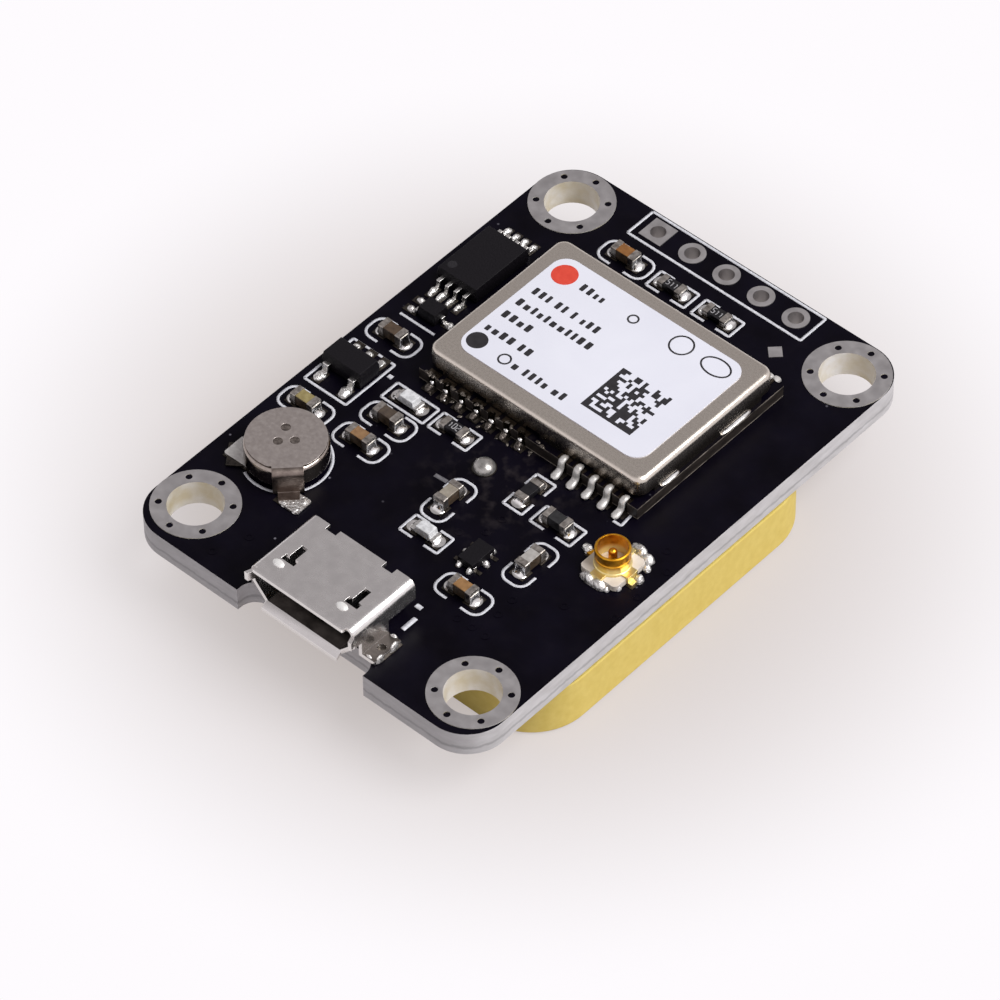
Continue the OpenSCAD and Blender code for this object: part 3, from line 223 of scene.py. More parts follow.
# Bare lands beside the joints, under a dried film of flux and darkened further as a painted dark reflection:
# dark with paler flecks
fluxed_land = finish("fluxed_land", "#17130f", "#4a433c", 0.3, (0.25, 0.4), 0.006, Metallic=0.6)
# Reflowed solder: bright, wavy and a little frosted
solder = finish("reflowed_solder", "#c9c7c4", "#efeeec", 0.3, (0.1, 0.2), 0.006, Metallic=1.0)
# Solder that set with a crinkled, frosted skin
crinkled_solder = finish("crinkled_solder", "#b5b2ae", "#f4f3f1", 0.16, (0.2, 0.38), 0.03, Metallic=0.85)
# Leaded solder runs: even, soft and pale
frosted_solder = finish("frosted_solder", "#bdbab7", "#e6e4e1", 0.35, (0.35, 0.5), 0.006, Metallic=0.5)
# Solder dulled by air: grey and soft
dulled_solder = finish("dulled_solder", "#96938f", "#c2bfbc", 0.4, (0.25, 0.38), 0.008, Metallic=0.8)
# Thin solder under brown flux, darkened further as a painted dark reflection: dark and glassy
fluxed_solder = finish("fluxed_solder", "#2a2522", "#77706a", 0.2, (0.14, 0.28), 0.02, Metallic=0.9)
# Dried flux with grains of solder in it: brown-grey and glassy
flux_crust = finish("flux_crust", "#2c2622", "#8d857c", 0.12, (0.15, 0.3), 0.01, Metallic=0.6)

# Nickel-silver sheet, rolled and folded: warm satin metal with a fine pitting, drawn coarser than it is,
# and a painted dark brown reflection low on its walls
DARK_REFLECTION_FULL, DARK_REFLECTION_END = 1.2, 2.1
nickel_silver = finish("nickel_silver_sheet", "#cbc3b8", "#d7cfc5", 0.12, (0.25, 0.32), 0.0002, Metallic=1.0)
stain(nickel_silver, low_share(nickel_silver, DARK_REFLECTION_FULL, DARK_REFLECTION_END, 0.85), "#62574c")
# Printed label film: smooth cool white with a low gloss
film = finish("label_film", "#e5e5f0", "#ececf6", 5.0, (0.36, 0.46), Specular_IOR_Level=0.3)
# Printing ink on the film: matt, soft black
black_ink = finish("black_label_ink", "#18161a", "#242226", 0.3, (0.5, 0.62))
# Printing ink on the film: matt, warm red
red_ink = finish("red_label_ink", "#d8402e", "#e44c38", 0.3, (0.5, 0.62))
# Legend ink, screened on: matt white, thin where the screen's mesh left it so
white_ink = finish("white_legend_ink", "#c3c3ca", "#e6e6ec", 0.2, (0.55, 0.7), 0.004)
# Fired value code on a resistor: matt pale grey
pale_ink = finish("fired_code", "#8f8d90", "#b3b1b4", 0.1, (0.55, 0.7))
# A copper trace under thin mask: dull grey
grey_trace = finish("veiled_trace", "#5d5b60", "#7d7b80", 0.3, (0.4, 0.55), 0.004)
# Moulding compound: black epoxy with a matt grain from the mould, drawn coarser than it is
compound = finish("moulding_compound", "#0b090d", "#141116", 0.1, (0.45, 0.6), 0.006,
                  Specular_IOR_Level=0.17)
# The compound where the mould's pin was polished: black and smooth
dimple = finish("polished_dimple", "#1b191d", "#232126", 0.1, (0.22, 0.3), Specular_IOR_Level=0.4)

# Tinned steel, stamped and folded: even satin grey with faint smudges
tinned_steel = finish("tinned_steel", "#dfdcda", "#e8e5e3", 0.6, (0.22, 0.3), 0.0006, Metallic=1.0)
# The same steel painted dark as shade, low in the mouth and on the tops of the feet: dark and patchy
shaded_steel = finish("stained_mouth_steel", "#2b2725", "#4a4542", 0.7, (0.3, 0.45), 0.002, Metallic=0.9)
# Steel painted pale and bright as a highlight on the pressed latch dimples
burnished_steel = finish("burnished_steel", "#ebe9e7", "#f6f4f2", 0.4, (0.3, 0.4), 0.001, Metallic=0.25)
# Nylon of the USB socket's tongue, moulded: black with a dull sheen
nylon = finish("black_nylon", "#0e0e10", "#171719", 0.3, (0.45, 0.6), 0.004, Specular_IOR_Level=0.3)
# Gilding over bronze: deep warm gold with a bright sheen
gilding = finish("gilded_bronze", "#cf8d1e", "#e8ab35", 0.3, (0.2, 0.34), 0.002, Metallic=1.0)
# Gilding of the coaxial ring: amber at its mouth, paler towards its foot
PALE_FULL, PALE_END = 0.75, 1.15
ring_gilding = finish("worn_ring_gilding", "#c07f14", "#e0a632", 0.3, (0.3, 0.42), 0.002, Metallic=1.0)
stain(ring_gilding, low_share(ring_gilding, PALE_FULL, PALE_END, 0.85), "#efdf9f")
# Edge plating browned by flux and darkened further as a painted dark reflection
edge_plating_flux_and_dark_reflection = finish("browned_edge_plating", "#2a241f", "#544b40", 0.25, (0.2, 0.36), 0.004, Metallic=0.9)
# Liquid-crystal polymer, moulded: cream with a faint flow
cream_plastic = finish("cream_polymer", "#d9cfc4", "#e9e0d7", 0.6, (0.4, 0.55), 0.004)

# Stainless steel, drawn: fine satin with a warm grey cast
stainless = finish("stainless_steel", "#8d837b", "#a39a93", 0.25, (0.12, 0.2), 0.001, Metallic=1.0)
# Rolled nickel-plated steel of the cell's plate: pale, soft and even
tab_steel = finish("rolled_tab_steel", "#b3aaa5", "#bcb4af", 0.2, (0.4, 0.5), 0.0015, Metallic=1.0)
# The plate's strap, tinned, and painted darker and browner as shade
strap_steel_painted_shade = finish("tinned_strap_steel", "#6b605a", "#8d827b", 0.5, (0.3, 0.42), 0.003, Metallic=1.0)
# Steel burnt by a spot weld: dull dark brown
scorch = finish("weld_scorch", "#4b433f", "#7a716b", 0.18, (0.45, 0.6), 0.01, Metallic=0.7)
# Rubber ring between the cell's can and cap: matt black
seal = finish("cell_seal", "#1f1e1e", "#2b2a2a", 0.3, (0.5, 0.7))

# Fired ceramic of the aerial: matt ochre yellow, even, with a fine grain
ceramic = finish("fired_yellow_ceramic", "#dbc163", "#e3cb73", 0.5, (0.55, 0.7), 0.004,
                 Specular_IOR_Level=0.3)
# Silver paste, fired on: pale satin metal, a little cloudy
silver = finish("fired_silver", "#bdbdb9", "#d3d3cf", 0.4, (0.4, 0.55), 0.004, Metallic=1.0)
# Double-sided tape, cut: cream and dull
adhesive = finish("adhesive_tape", "#d8d1be", "#e6e0d0", 0.8, (0.5, 0.7), 0.006)

# Bright tin on leads
lead_tin = finish("lead_tin", "#c6c4c1", "#e6e4e1", 0.3, (0.2, 0.32), 0.004, Metallic=1.0)
# Plated end caps, dulled in the oven: warm grey with pale flecks
cap_tin = finish("end_cap_plating", "#86807a", "#c8c2bb", 0.28, (0.26, 0.4), 0.006, Metallic=0.95)
# Fired capacitor ceramics: each body its own brown, tan or grey, with a fine grain
CHIP_CERAMICS = {
    "capacitor_1": ("#7d4f24", "#96652f"), "capacitor_2": ("#3e2f22", "#594736"),
    "capacitor_3": ("#86774a", "#a09263"), "capacitor_4": ("#3a2f27", "#524539"),
    "capacitor_5": ("#7d5c3d", "#977450"), "capacitor_6": ("#8a8174", "#a1988b"),
    "capacitor_7": ("#9d9894", "#b6b2ae"), "capacitor_8": ("#866139", "#9f774b"),
}
chip_ceramic = {node: finish("ceramic_of_" + node, dark, light, 0.3, (0.45, 0.6), 0.006)
                for node, (dark, light) in CHIP_CERAMICS.items()}
# The bodies' walls, painted darker than their tops as shade: dull dark brown
shaded_ceramic_walls = finish("stained_ceramic_side", "#33291f", "#5a4b3c", 0.35, (0.35, 0.5), 0.006)
# Glaze over a resistor's film: black glass with a soft shine
glaze = finish("resistor_glaze", "#0e0d10", "#1b191d", 0.25, (0.3, 0.45), 0.003, Specular_IOR_Level=0.35)
# Ferrite of the inductor, fired: charcoal grey and grainy
ferrite = finish("ferrite", "#161617", "#2a2a2c", 0.2, (0.4, 0.55), 0.006)
# Milky resin over phosphor: off-white and glossy, with fine grey flecks
resin = finish("milky_resin", "#bfbfc1", "#ececee", 0.3, (0.2, 0.35), 0.003)


def seated(piece, slot, *stands_for):
    """Rides a finished piece on the module and hides the solids it stands in for."""
    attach(piece, BODY)
    if stands_for:
        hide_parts(*stands_for)
    return piece


def settled(holder, name):
    """Turns a holder and its modifiers into one plain mesh object at the origin."""
    bpy.context.view_layer.update()
    deps = bpy.context.evaluated_depsgraph_get()
    mesh = bpy.data.meshes.new_from_object(holder.evaluated_get(deps), depsgraph=deps)
    holder.modifiers.clear()
    bpy.data.objects.remove(holder)
    mesh.name = name
    piece = bpy.data.objects.new(name, mesh)
    scene.collection.objects.link(piece)
    return piece


# Copies of the solids, dressed in their materials
SHARP = math.radians(38)
SAME_PLANE = math.radians(0.5)
WELD = 0.0008 * MM
TEST_POINT, TEST_POINT_REACH = Vector((6.09, 14.06)), 0.8
CELL_MID, CELL_PLATE_REACH = Vector((-8.73, -9.65)), 2.25
FEET_TOP = 0.5


def stands_up(face):
    """True for the face of a wall."""
    return abs(face.normal.z) < 0.5


def beside_joint(face):
    """True for a land next to solder, and not for the bare test point."""
    return (face.center.xy / MM - TEST_POINT).length > TEST_POINT_REACH


def lies_low(face):
    """True for the USB shell's inner floor and the tops of its feet."""
    return face.normal.z > 0.9 and face.center.z < FEET_TOP * MM


def hangs_off(face):
    """True for the strap that leaves the cell's plate."""
    return (face.center.xy / MM - CELL_MID).length > CELL_PLATE_REACH


def dress(node, coat, edge=0.0, other_coat=None, takes_other=stands_up):
    """Stands a merged copy in for a solid: round faces smooth, edges rounded by so many mm."""
    form = bmesh.new()
    form.from_mesh(NODES[node].data)
    bmesh.ops.remove_doubles(form, verts=form.verts, dist=WELD)
    if edge:
        bmesh.ops.dissolve_limit(form, angle_limit=SAME_PLANE, verts=form.verts, edges=form.edges)
    shell = bpy.data.meshes.new(node)
    form.to_mesh(shell)
    form.free()
    corners = [tuple(v.co) for v in shell.vertices]
    faces = [tuple(f.vertices) for f in shell.polygons]
    mesh = bpy.data.meshes.new(node)
    mesh.from_pydata(corners, [], faces)
    bpy.data.meshes.remove(shell)
    mesh.shade_smooth()
    mesh.set_sharp_from_angle(angle=SHARP)
    mesh.materials.append(coat)
    if other_coat:
        mesh.materials.append(other_coat)
        for face in mesh.polygons:
            face.material_index = int(takes_other(face))
    holder = bpy.data.objects.new(node + "_holder", mesh)
    scene.collection.objects.link(holder)
    if edge:
        rounding = holder.modifiers.new("edge", "BEVEL")
        rounding.width = edge * MM
        rounding.segments = 3
        rounding.limit_method = "ANGLE"
        rounding.angle_limit = SHARP
        rounding.harden_normals = True
    return seated(settled(holder, node + "_dressed"), SLOT_OF[node], node)


# Material of each solid, and how far its edges are rounded in mm
DRESSES = {
    "header_pads": (tin, 0),
    "receiver_pads": (edge_plating_flux_and_dark_reflection, 0), "receiver_shield": (nickel_silver, 0), "receiver_label": (film, 0),
    "usb_insulator": (nylon, 0), "usb_contacts": (gilding, 0),
    "cell_can": (stainless, 0.04), "cell_gasket": (seal, 0), "cell_cap": (stainless, 0.04),
    "cell_lower_tab": (fluxed_land, 0.03),
    "socket_base": (cream_plastic, 0.06), "socket_ring": (ring_gilding, 0.02), "socket_pin": (gilding, 0),
    "aerial_ceramic": (ceramic, 0.2), "aerial_patch": (silver, 0), "aerial_ground": (silver, 0),
    "aerial_tape": (adhesive, 0), "aerial_pin": (tin, 0.05),
    "memory_chip": (compound, 0.03), "memory_leads": (lead_tin, 0.05),
    "regulator": (compound, 0.03), "regulator_leads": (lead_tin, 0.05),
    "transistor": (compound, 0.03), "transistor_leads": (lead_tin, 0.05),
    "amplifier": (compound, 0.03), "amplifier_contacts": (lead_tin, 0.02),
    "capacitor_caps": (cap_tin, 0.06), "resistor_caps": (cap_tin, 0.05),
    "inductor": (ferrite, 0.06), "inductor_caps": (cap_tin, 0.08),
    "lamp_1": (resin, 0.06), "lamp_2": (resin, 0.06), "lamp_caps": (lead_tin, 0.04),
    **{f"resistor_{i}": (glaze, 0.02) for i in (1, 2, 3, 4)},
}
for node, (coat, edge) in DRESSES.items():
    dress(node, coat, edge)
dress("circuit_board", mask, 0, laminate)
dress("mounting_rings", tin, 0, barrel_tin_floor_reflection)
dress("solder_lands", tin, 0, fluxed_land, beside_joint)
dress("usb_shell", tinned_steel, 0.05, shaded_steel, lies_low)
for node, coat in chip_ceramic.items():
    dress(node, coat, 0.06, shaded_ceramic_walls)
dress("cell_upper_tab", tab_steel, 0.04, strap_steel_painted_shade, hangs_off)
dress("receiver_board", mask, 0, dark_laminate)

# The parts sealed under the shield keep their own meshes
for node, coat in {"receiver_chip": compound, "receiver_crystal": tin, "receiver_filter": tin}.items():
    inner = NODES[node]
    inner.data.materials.clear()
    inner.data.materials.append(coat)


# Geometry trees, for what repeats and for what follows a path
def new_tree(name, sizes):
    """A geometry tree with named inputs, and the sockets that give them."""
    tree = bpy.data.node_groups.new(name, "GeometryNodeTree")
    tree.interface.new_socket("Geometry", in_out="INPUT", socket_type="NodeSocketGeometry")
    for label, kind in sizes.items():
        tree.interface.new_socket(label, in_out="INPUT", socket_type=kind)
    tree.interface.new_socket("Geometry", in_out="OUTPUT", socket_type="NodeSocketGeometry")
    return tree, add(tree, "NodeGroupInput").outputs


def grown(tree, mesh, name, **values):
    """Runs a geometry tree on a mesh with its named inputs, and returns the plain result."""
    holder = bpy.data.objects.new(name + "_holder", mesh)
    scene.collection.objects.link(holder)
    growth = holder.modifiers.new("growth", "NODES")
    growth.node_group = tree
    for socket in tree.interface.items_tree:
        label = socket.name.replace(" ", "_")
        if socket.in_out == "INPUT" and label in values:
            growth[socket.identifier] = values[label]
    holder.update_tag()
    return settled(holder, name)


# Tree that repeats one small form at many spots, each with its own turn and size
repeat, given = new_tree("repeated_form", {"Form": "NodeSocketObject", "Coat": "NodeSocketMaterial"})
form_info = add(repeat, "GeometryNodeObjectInfo", {"Object": given["Form"], "As Instance": True})
turn_of = add(repeat, "GeometryNodeInputNamedAttribute", {"Name": "turn"}, data_type="FLOAT_VECTOR")
span_of = add(repeat, "GeometryNodeInputNamedAttribute", {"Name": "span"}, data_type="FLOAT_VECTOR")
copies = add(repeat, "GeometryNodeInstanceOnPoints", {
    "Points": given["Geometry"], "Instance": form_info.outputs["Geometry"],
    "Rotation": turn_of.outputs[0], "Scale": span_of.outputs[0]})
real = add(repeat, "GeometryNodeRealizeInstances", {"Geometry": copies.outputs[0]})
coated = add(repeat, "GeometryNodeSetMaterial", {"Geometry": real.outputs[0], "Material": given["Coat"]})
add(repeat, "NodeGroupOutput", {"Geometry": coated.outputs[0]})

# Tree that draws a flat ink line of a given width and height along each path, with rounded corners
inking, given = new_tree("ink_line", {"Line width": "NodeSocketFloat", "Ink height": "NodeSocketFloat",
                                      "Coat": "NodeSocketMaterial"})
path = add(inking, "GeometryNodeMeshToCurve", {"Mesh": given["Geometry"]})
corner_of = add(inking, "GeometryNodeInputNamedAttribute", {"Name": "corner"}, data_type="FLOAT")
eased = add(inking, "GeometryNodeFilletCurve", {
    "Curve": path.outputs[0], "Count": 6, "Radius": corner_of.outputs[0], "Limit Radius": True}, mode="POLY")
level = add(inking, "GeometryNodeSetCurveNormal", {"Curve": eased.outputs[0]}, mode="Z_UP")
section = add(inking, "GeometryNodeCurvePrimitiveQuadrilateral", {
    "Width": given["Line width"], "Height": given["Ink height"]})
ribbon = add(inking, "GeometryNodeCurveToMesh", {
    "Curve": level.outputs[0], "Profile Curve": section.outputs[0], "Fill Caps": True})
real = add(inking, "GeometryNodeRealizeInstances", {"Geometry": ribbon.outputs[0]})
coated = add(inking, "GeometryNodeSetMaterial", {"Geometry": real.outputs[0], "Material": given["Coat"]})
add(inking, "NodeGroupOutput", {"Geometry": coated.outputs[0]})


def scatter(name, form, spots, coat):
    """Repeats a unit form at spots of (place, turn in degrees, span), in mm."""
    holder = bpy.data.objects.new(name + "_form", form)
    scene.collection.objects.link(holder)
    points = bpy.data.meshes.new(name + "_spots")
    points.from_pydata([Vector(place) * MM for place, _, _ in spots], [], [])
    turns = points.attributes.new("turn", "FLOAT_VECTOR", "POINT")
    spans = points.attributes.new("span", "FLOAT_VECTOR", "POINT")
    for i, (_, turned, span) in enumerate(spots):
        turns.data[i].vector = [math.radians(a) for a in turned]
        spans.data[i].vector = Vector(span) * MM
    piece = grown(repeat, points, name, Form=holder, Coat=coat)
    bpy.data.objects.remove(holder)
    return piece


def draw(name, paths, width, height, z, coat):
    """Inks paths of (points, corner radius, closed) on a level at z, in mm."""
    mesh = bpy.data.meshes.new(name + "_paths")
    points, edges, corners = [], [], []
    for path, corner, closed in paths:
        first = len(points)
        points += [Vector((x, y, z + height / 2)) * MM for x, y in path]
        corners += [corner * MM] * len(path)
        edges += [(first + i, first + i + 1) for i in range(len(path) - 1)]
        if closed:
            edges.append((first + len(path) - 1, first))
    mesh.from_pydata(points, edges, [])
    corner = mesh.attributes.new("corner", "FLOAT", "POINT")
    for i, value in enumerate(corners):
        corner.data[i].value = value
    return grown(inking, mesh, name, Line_width=width * MM, Ink_height=height * MM, Coat=coat)


# Small forms that the first tree repeats, each about one unit in size
CREASE = math.radians(60)


def mesh_of(name, form, smooth=True):
    """Mesh from a finished bmesh, with its faces turned outwards."""
    bmesh.ops.remove_doubles(form, verts=form.verts, dist=1e-5)
    bmesh.ops.recalc_face_normals(form, faces=form.faces)
    mesh = bpy.data.meshes.new(name)
    form.to_mesh(mesh)
    form.free()
    if smooth:
        mesh.shade_smooth()
        mesh.set_sharp_from_angle(angle=CREASE)
    return mesh


def halved(form):
    """Cuts away what lies below z = 0 and closes the base."""
    cut = bmesh.ops.bisect_plane(form, geom=form.verts[:] + form.edges[:] + form.faces[:],
                                 plane_co=(0, 0, 0), plane_no=(0, 0, -1), clear_outer=True)
    rim = [e for e in cut["geom_cut"] if isinstance(e, bmesh.types.BMEdge)]
    bmesh.ops.contextual_create(form, geom=rim)


def fillet_form(levels=7, around=12):
    """Solder fillet: a hollow skirt from a round toe at x = 1 up to an edge at z = 1."""
    form = bmesh.new()
    rows = []
    for level in range(levels + 1):
        a = math.radians(90) * level / levels
        reach = 0.08 + 0.92 * (1 - math.sin(a)) + 0.1 * math.sin(2 * a)
        half = 0.5 - 0.12 * math.sin(a)
        row = []
        for step in range(around + 1):
            b = math.radians(180 * step / around - 90)
            row.append(form.verts.new((reach * math.cos(b) ** 0.8, half * math.sin(b), 1 - math.cos(a))))
        rows.append(row)
    for here, there in zip(rows, rows[1:]):
        for k in range(around):
            form.faces.new((here[k], here[k + 1], there[k + 1], there[k]))
    form.faces.new(rows[0])
    form.faces.new(rows[-1])
    form.faces.new([row[0] for row in rows] + [row[-1] for row in reversed(rows)])
    return mesh_of("fillet", form)


def dome_form():
    """Dome of radius 1 with a flat base."""
    form = bmesh.new()
    bmesh.ops.create_uvsphere(form, u_segments=16, v_segments=12, radius=1)
    halved(form)
    return mesh_of("dome", form)


def lump_form(seed, uneven=0.22):
    """Lump of solder: a dome with a seeded uneven surface and a flat base."""
    form = bmesh.new()
    bmesh.ops.create_icosphere(form, subdivisions=3, radius=1)
    chance = random.Random(seed)
    waves = [(Vector([chance.uniform(-1, 1) for _ in range(3)]).normalized(), chance.uniform(2.5, 5.5),
              chance.uniform(0, math.tau)) for _ in range(5)]
    for v in form.verts:
        swell = sum(math.sin(pace * v.co.dot(way) + start) for way, pace, start in waves) / len(waves)
        v.co *= 1 + uneven * swell
    halved(form)
    return mesh_of("lump", form)


def tile_form(corner=0.0, steps=4):
    """Square tile, one high, with round upright corners of a share of its side."""
    form = bmesh.new()
    side = 0.5 - corner
    rim = []
    for turned, (x, y) in enumerate(((1, 1), (-1, 1), (-1, -1), (1, -1))):
        for step in range(steps + 1 if corner else 1):
            a = math.radians(90) * (turned + step / steps)
            rim.append(form.verts.new((x * side + corner * math.cos(a), y * side + corner * math.sin(a), 0)))
    raised = bmesh.ops.extrude_face_region(form, geom=[form.faces.new(rim)])
    upper = [v for v in raised["geom"] if isinstance(v, bmesh.types.BMVert)]
    bmesh.ops.translate(form, vec=(0, 0, 1), verts=upper)
    return mesh_of("tile", form, False)


def sleeve_form(wall=0.06, sides=32):
    """Tube of radius 1, one high, open at both ends."""
    form = bmesh.new()
    angles = [math.tau * i / sides for i in range(sides)]
    rings = [[form.verts.new((r * math.cos(a), r * math.sin(a), z)) for a in angles]
             for r, z in ((1, 0), (1, 1), (1 - wall, 1), (1 - wall, 0))]
    for here, there in zip(rings, rings[1:] + rings[:1]):
        for i in range(sides):
            form.faces.new((here[i], here[(i + 1) % sides], there[(i + 1) % sides], there[i]))
    return mesh_of("sleeve", form)


# Spine of a solder run over a notched edge, in mm: distance out from the edge, height, and half width
RUN_SPINE = [
    (-0.4, 0.84, 0.12), (-0.28, 0.9, 0.19), (-0.1, 0.93, 0.22), (0.06, 0.87, 0.22), (0.13, 0.7, 0.22),
    (0.15, 0.5, 0.22), (0.2, 0.33, 0.225), (0.34, 0.2, 0.24), (0.54, 0.13, 0.265), (0.72, 0.08, 0.26),
    (0.83, 0.03, 0.16),
]


def run_form(around=12, flat=0.66):
    """Solder run of that spine: an oval section carried over the edge and out along the land."""
    form = bmesh.new()
    rings = []
    for i, (out, height, half) in enumerate(RUN_SPINE):
        before, after = RUN_SPINE[max(i - 1, 0)], RUN_SPINE[min(i + 1, len(RUN_SPINE) - 1)]
        way = Vector((after[0] - before[0], after[1] - before[1])).normalized()
        ring = []
        for k in range(around):
            a = math.tau * k / around
            lift = half * flat * math.sin(a)
            ring.append(form.verts.new((out - way.y * lift, half * math.cos(a), height + way.x * lift)))
        rings.append(ring)
    for here, there in zip(rings, rings[1:]):
        for k in range(around):
            form.faces.new((here[k], here[(k + 1) % around], there[(k + 1) % around], there[k]))
    for ring in (rings[0], rings[-1]):
        form.faces.new(ring)
    return mesh_of("run", form)


def islands(node):
    """Boxes (low, high) in mm of the separate pieces in a solid."""
    form = bmesh.new()
    form.from_mesh(NODES[node].data)
    bmesh.ops.remove_doubles(form, verts=form.verts, dist=WELD)
    left = set(form.verts)
    boxes = []
    for start in form.verts:
        if start not in left:
            continue
        left.remove(start)
        open_ends, piece = [start], [start]
        while open_ends:
            for link in open_ends.pop().link_edges:
                for v in link.verts:
                    if v in left:
                        left.remove(v)
                        open_ends.append(v)
                        piece.append(v)
        low, high = (Vector([end(v.co[i] for v in piece) for i in range(3)]) / MM for end in (min, max))
        boxes.append((low, high))
    form.free()
    return boxes


# Solder: fillets against the ends of the small parts and the shield's feet, runs over the receiver's notched
# edges, lumps on the leads, tabs and sockets, and a dome on the feed pin
SEAT = 0.05
LEVEL = (0, 0, 0)
CAP = 0.04
FILLET_REACH = 0.46
LAMP_END = 0.3
FILLET, DOME, LUMP = fillet_form(), dome_form(), lump_form(3)
SMALL_PARTS = ([f"capacitor_{i}" for i in range(1, 9)] + [f"resistor_{i}" for i in range(1, 5)]
               + ["inductor", "lamp_1", "lamp_2"])
chance = random.Random(5)
joints = []
for node in SMALL_PARTS:
    middle, size = box_of(node)
    along = 0 if size.x > size.y else 1
    end = size[along] / 2 + CAP
    width = size[1 - along] + 2 * CAP
    height = LAMP_END if node.startswith("lamp") else size.z + 2 * CAP
    for side in (1, -1):
        place = [middle.x, middle.y, SEAT]
        place[along] += side * end
        heading = (0 if side > 0 else 180) + (90 if along else 0)
        reach = FILLET_REACH * chance.uniform(0.92, 1.08)
        climb = height * chance.uniform(0.62, 0.8)
        joints.append((place, (0, 0, heading), (reach, width * 1.08, climb)))

# Dashes of solder along the shield's end walls: middle from the receiver's middle, and length
DASHES = ((-3.2, 1.5), (2.3, 2.5))
DASH_REACH, DASH_CLIMB = 0.2, 0.22
shield_mid, shield_size = box_of("receiver_shield")
receiver_top = receiver_mid.z + receiver_size.z / 2
for side in (1, -1):
    for at, length in DASHES:
        place = (shield_mid.x + side * shield_size.x / 2, receiver_mid.y + at, receiver_top)
        joints.append((place, (0, 0, 0 if side > 0 else 180), (DASH_REACH, length, DASH_CLIMB)))
seated(scatter("solder_fillets", FILLET, joints, solder), SLOT_OF["solder_joints"], "solder_joints")

# The receiver's edge pads: five a side with full runs, and seven with little solder and much flux
EDGE_MARGIN, EDGE_PITCH = 1.0, 1.1
FULL_PADS, LEAN_PADS = 5, 7
# On a lean pad, in mm: how far out from the edge and how high each thing lies, and its half sizes
FLUX_LUMP_OUT, FLUX_LUMP = 0.22, (0.34, 0.27, 0.32)
NOTCH_BEAD_OUT, NOTCH_BEAD_UP, NOTCH_BEAD = 0.08, 0.36, Vector((0.17, 0.14, 0.15))
LAND_BEAD_OUT, LAND_BEAD_UP, LAND_BEAD = 0.46, 0.08, (0.09, 0.07, 0.08)
left_edge = receiver_mid.x - receiver_size.x / 2 + EDGE_MARGIN
right_edge = receiver_mid.x + receiver_size.x / 2 - EDGE_MARGIN
runs, dull, beads = [], [], []
for side in (1, -1):
    edge_y = receiver_mid.y + side * receiver_size.y / 2
    for i in range(FULL_PADS):
        sway = chance.uniform(-4, 4)
        size = chance.uniform(0.95, 1.06)
        runs.append(((right_edge - i * EDGE_PITCH, edge_y, SEAT), (0, 0, 90 * side + sway), (1, size, size)))
    for i in range(LEAN_PADS):
        x = left_edge + i * EDGE_PITCH
        sway = chance.uniform(-10, 10)
        dull.append(((x, edge_y + side * FLUX_LUMP_OUT, SEAT), (0, 0, 90 + sway), FLUX_LUMP))
        place = (x + chance.uniform(-0.06, 0.06), edge_y + side * NOTCH_BEAD_OUT, SEAT + NOTCH_BEAD_UP)
        beads.append((place, LEVEL, (NOTCH_BEAD.x * chance.uniform(0.85, 1.15), NOTCH_BEAD.y, NOTCH_BEAD.z)))
        place = (x + chance.uniform(-0.2, 0.2), edge_y + side * LAND_BEAD_OUT, SEAT + LAND_BEAD_UP)
        beads.append((place, LEVEL, LAND_BEAD))
seated(scatter("edge_solder_runs", run_form(), runs, frosted_solder), "solder")
seated(scatter("edge_flux_lumps", LUMP, dull, fluxed_solder), "solder")
seated(scatter("edge_solder_beads", LUMP, beads, solder), "solder")

# Crumbs of dried flux and solder by the lean pads, on the receiver's arris and on the board below it
CRUMBS = 44
CRUMBS_FROM, CRUMBS_TO = left_edge - 0.7, left_edge + 8.2
crumbs = []
for side in (1, -1):
    edge_y = receiver_mid.y + side * receiver_size.y / 2
    for _ in range(CRUMBS):
        x = chance.uniform(CRUMBS_FROM, CRUMBS_TO)
        span = chance.uniform(0.05, 0.13)
        if chance.random() < 0.5:
            place = (x, edge_y - side * chance.uniform(0.02, 0.16), receiver_top)
        else:
            place = (x, edge_y + side * chance.uniform(0.05, 0.75), 0.0)
        crumbs.append((place, (0, 0, chance.uniform(0, 180)), (span * 1.5, span, span * 0.6)))
seated(scatter("flux_crumbs", LUMP, crumbs, flux_crust), "solder")

# Lump on each lead: its chip, half width, half length, and how far past the lead's end it sits
LEADS = {
    "memory_leads": ("memory_chip", 0.2, 0.36, -0.06),
    "regulator_leads": ("regulator", 0.34, 0.38, -0.06),
    "transistor_leads": ("transistor", 0.24, 0.26, -0.06),
    "amplifier_contacts": ("amplifier", 0.2, 0.27, 0.1),
}
LEAD_LUMP_H = 0.24
# The regulator's three rear leads are close together, so their lumps are smaller
REAR_SHARE = 0.65
lumps = []
for leads, (chip, half_width, half_length, past) in LEADS.items():
    middle, size = box_of(chip)
    for low, high in islands(leads):
        off = (low + high) / 2 - middle
        along = 0 if abs(off.x) / size.x > abs(off.y) / size.y else 1
        way = 1 if off[along] > 0 else -1
        place = [(low.x + high.x) / 2, (low.y + high.y) / 2, SEAT]
        place[along] = (high if way > 0 else low)[along] + way * past
        turned = 90 * along + chance.uniform(-12, 12)
        share = chance.uniform(0.9, 1.1) * (REAR_SHARE if chip == "regulator" and way > 0 else 1)
        span = (half_length * share, half_width * share, LEAD_LUMP_H * share)
        lumps.append((place, (0, 0, turned), span))
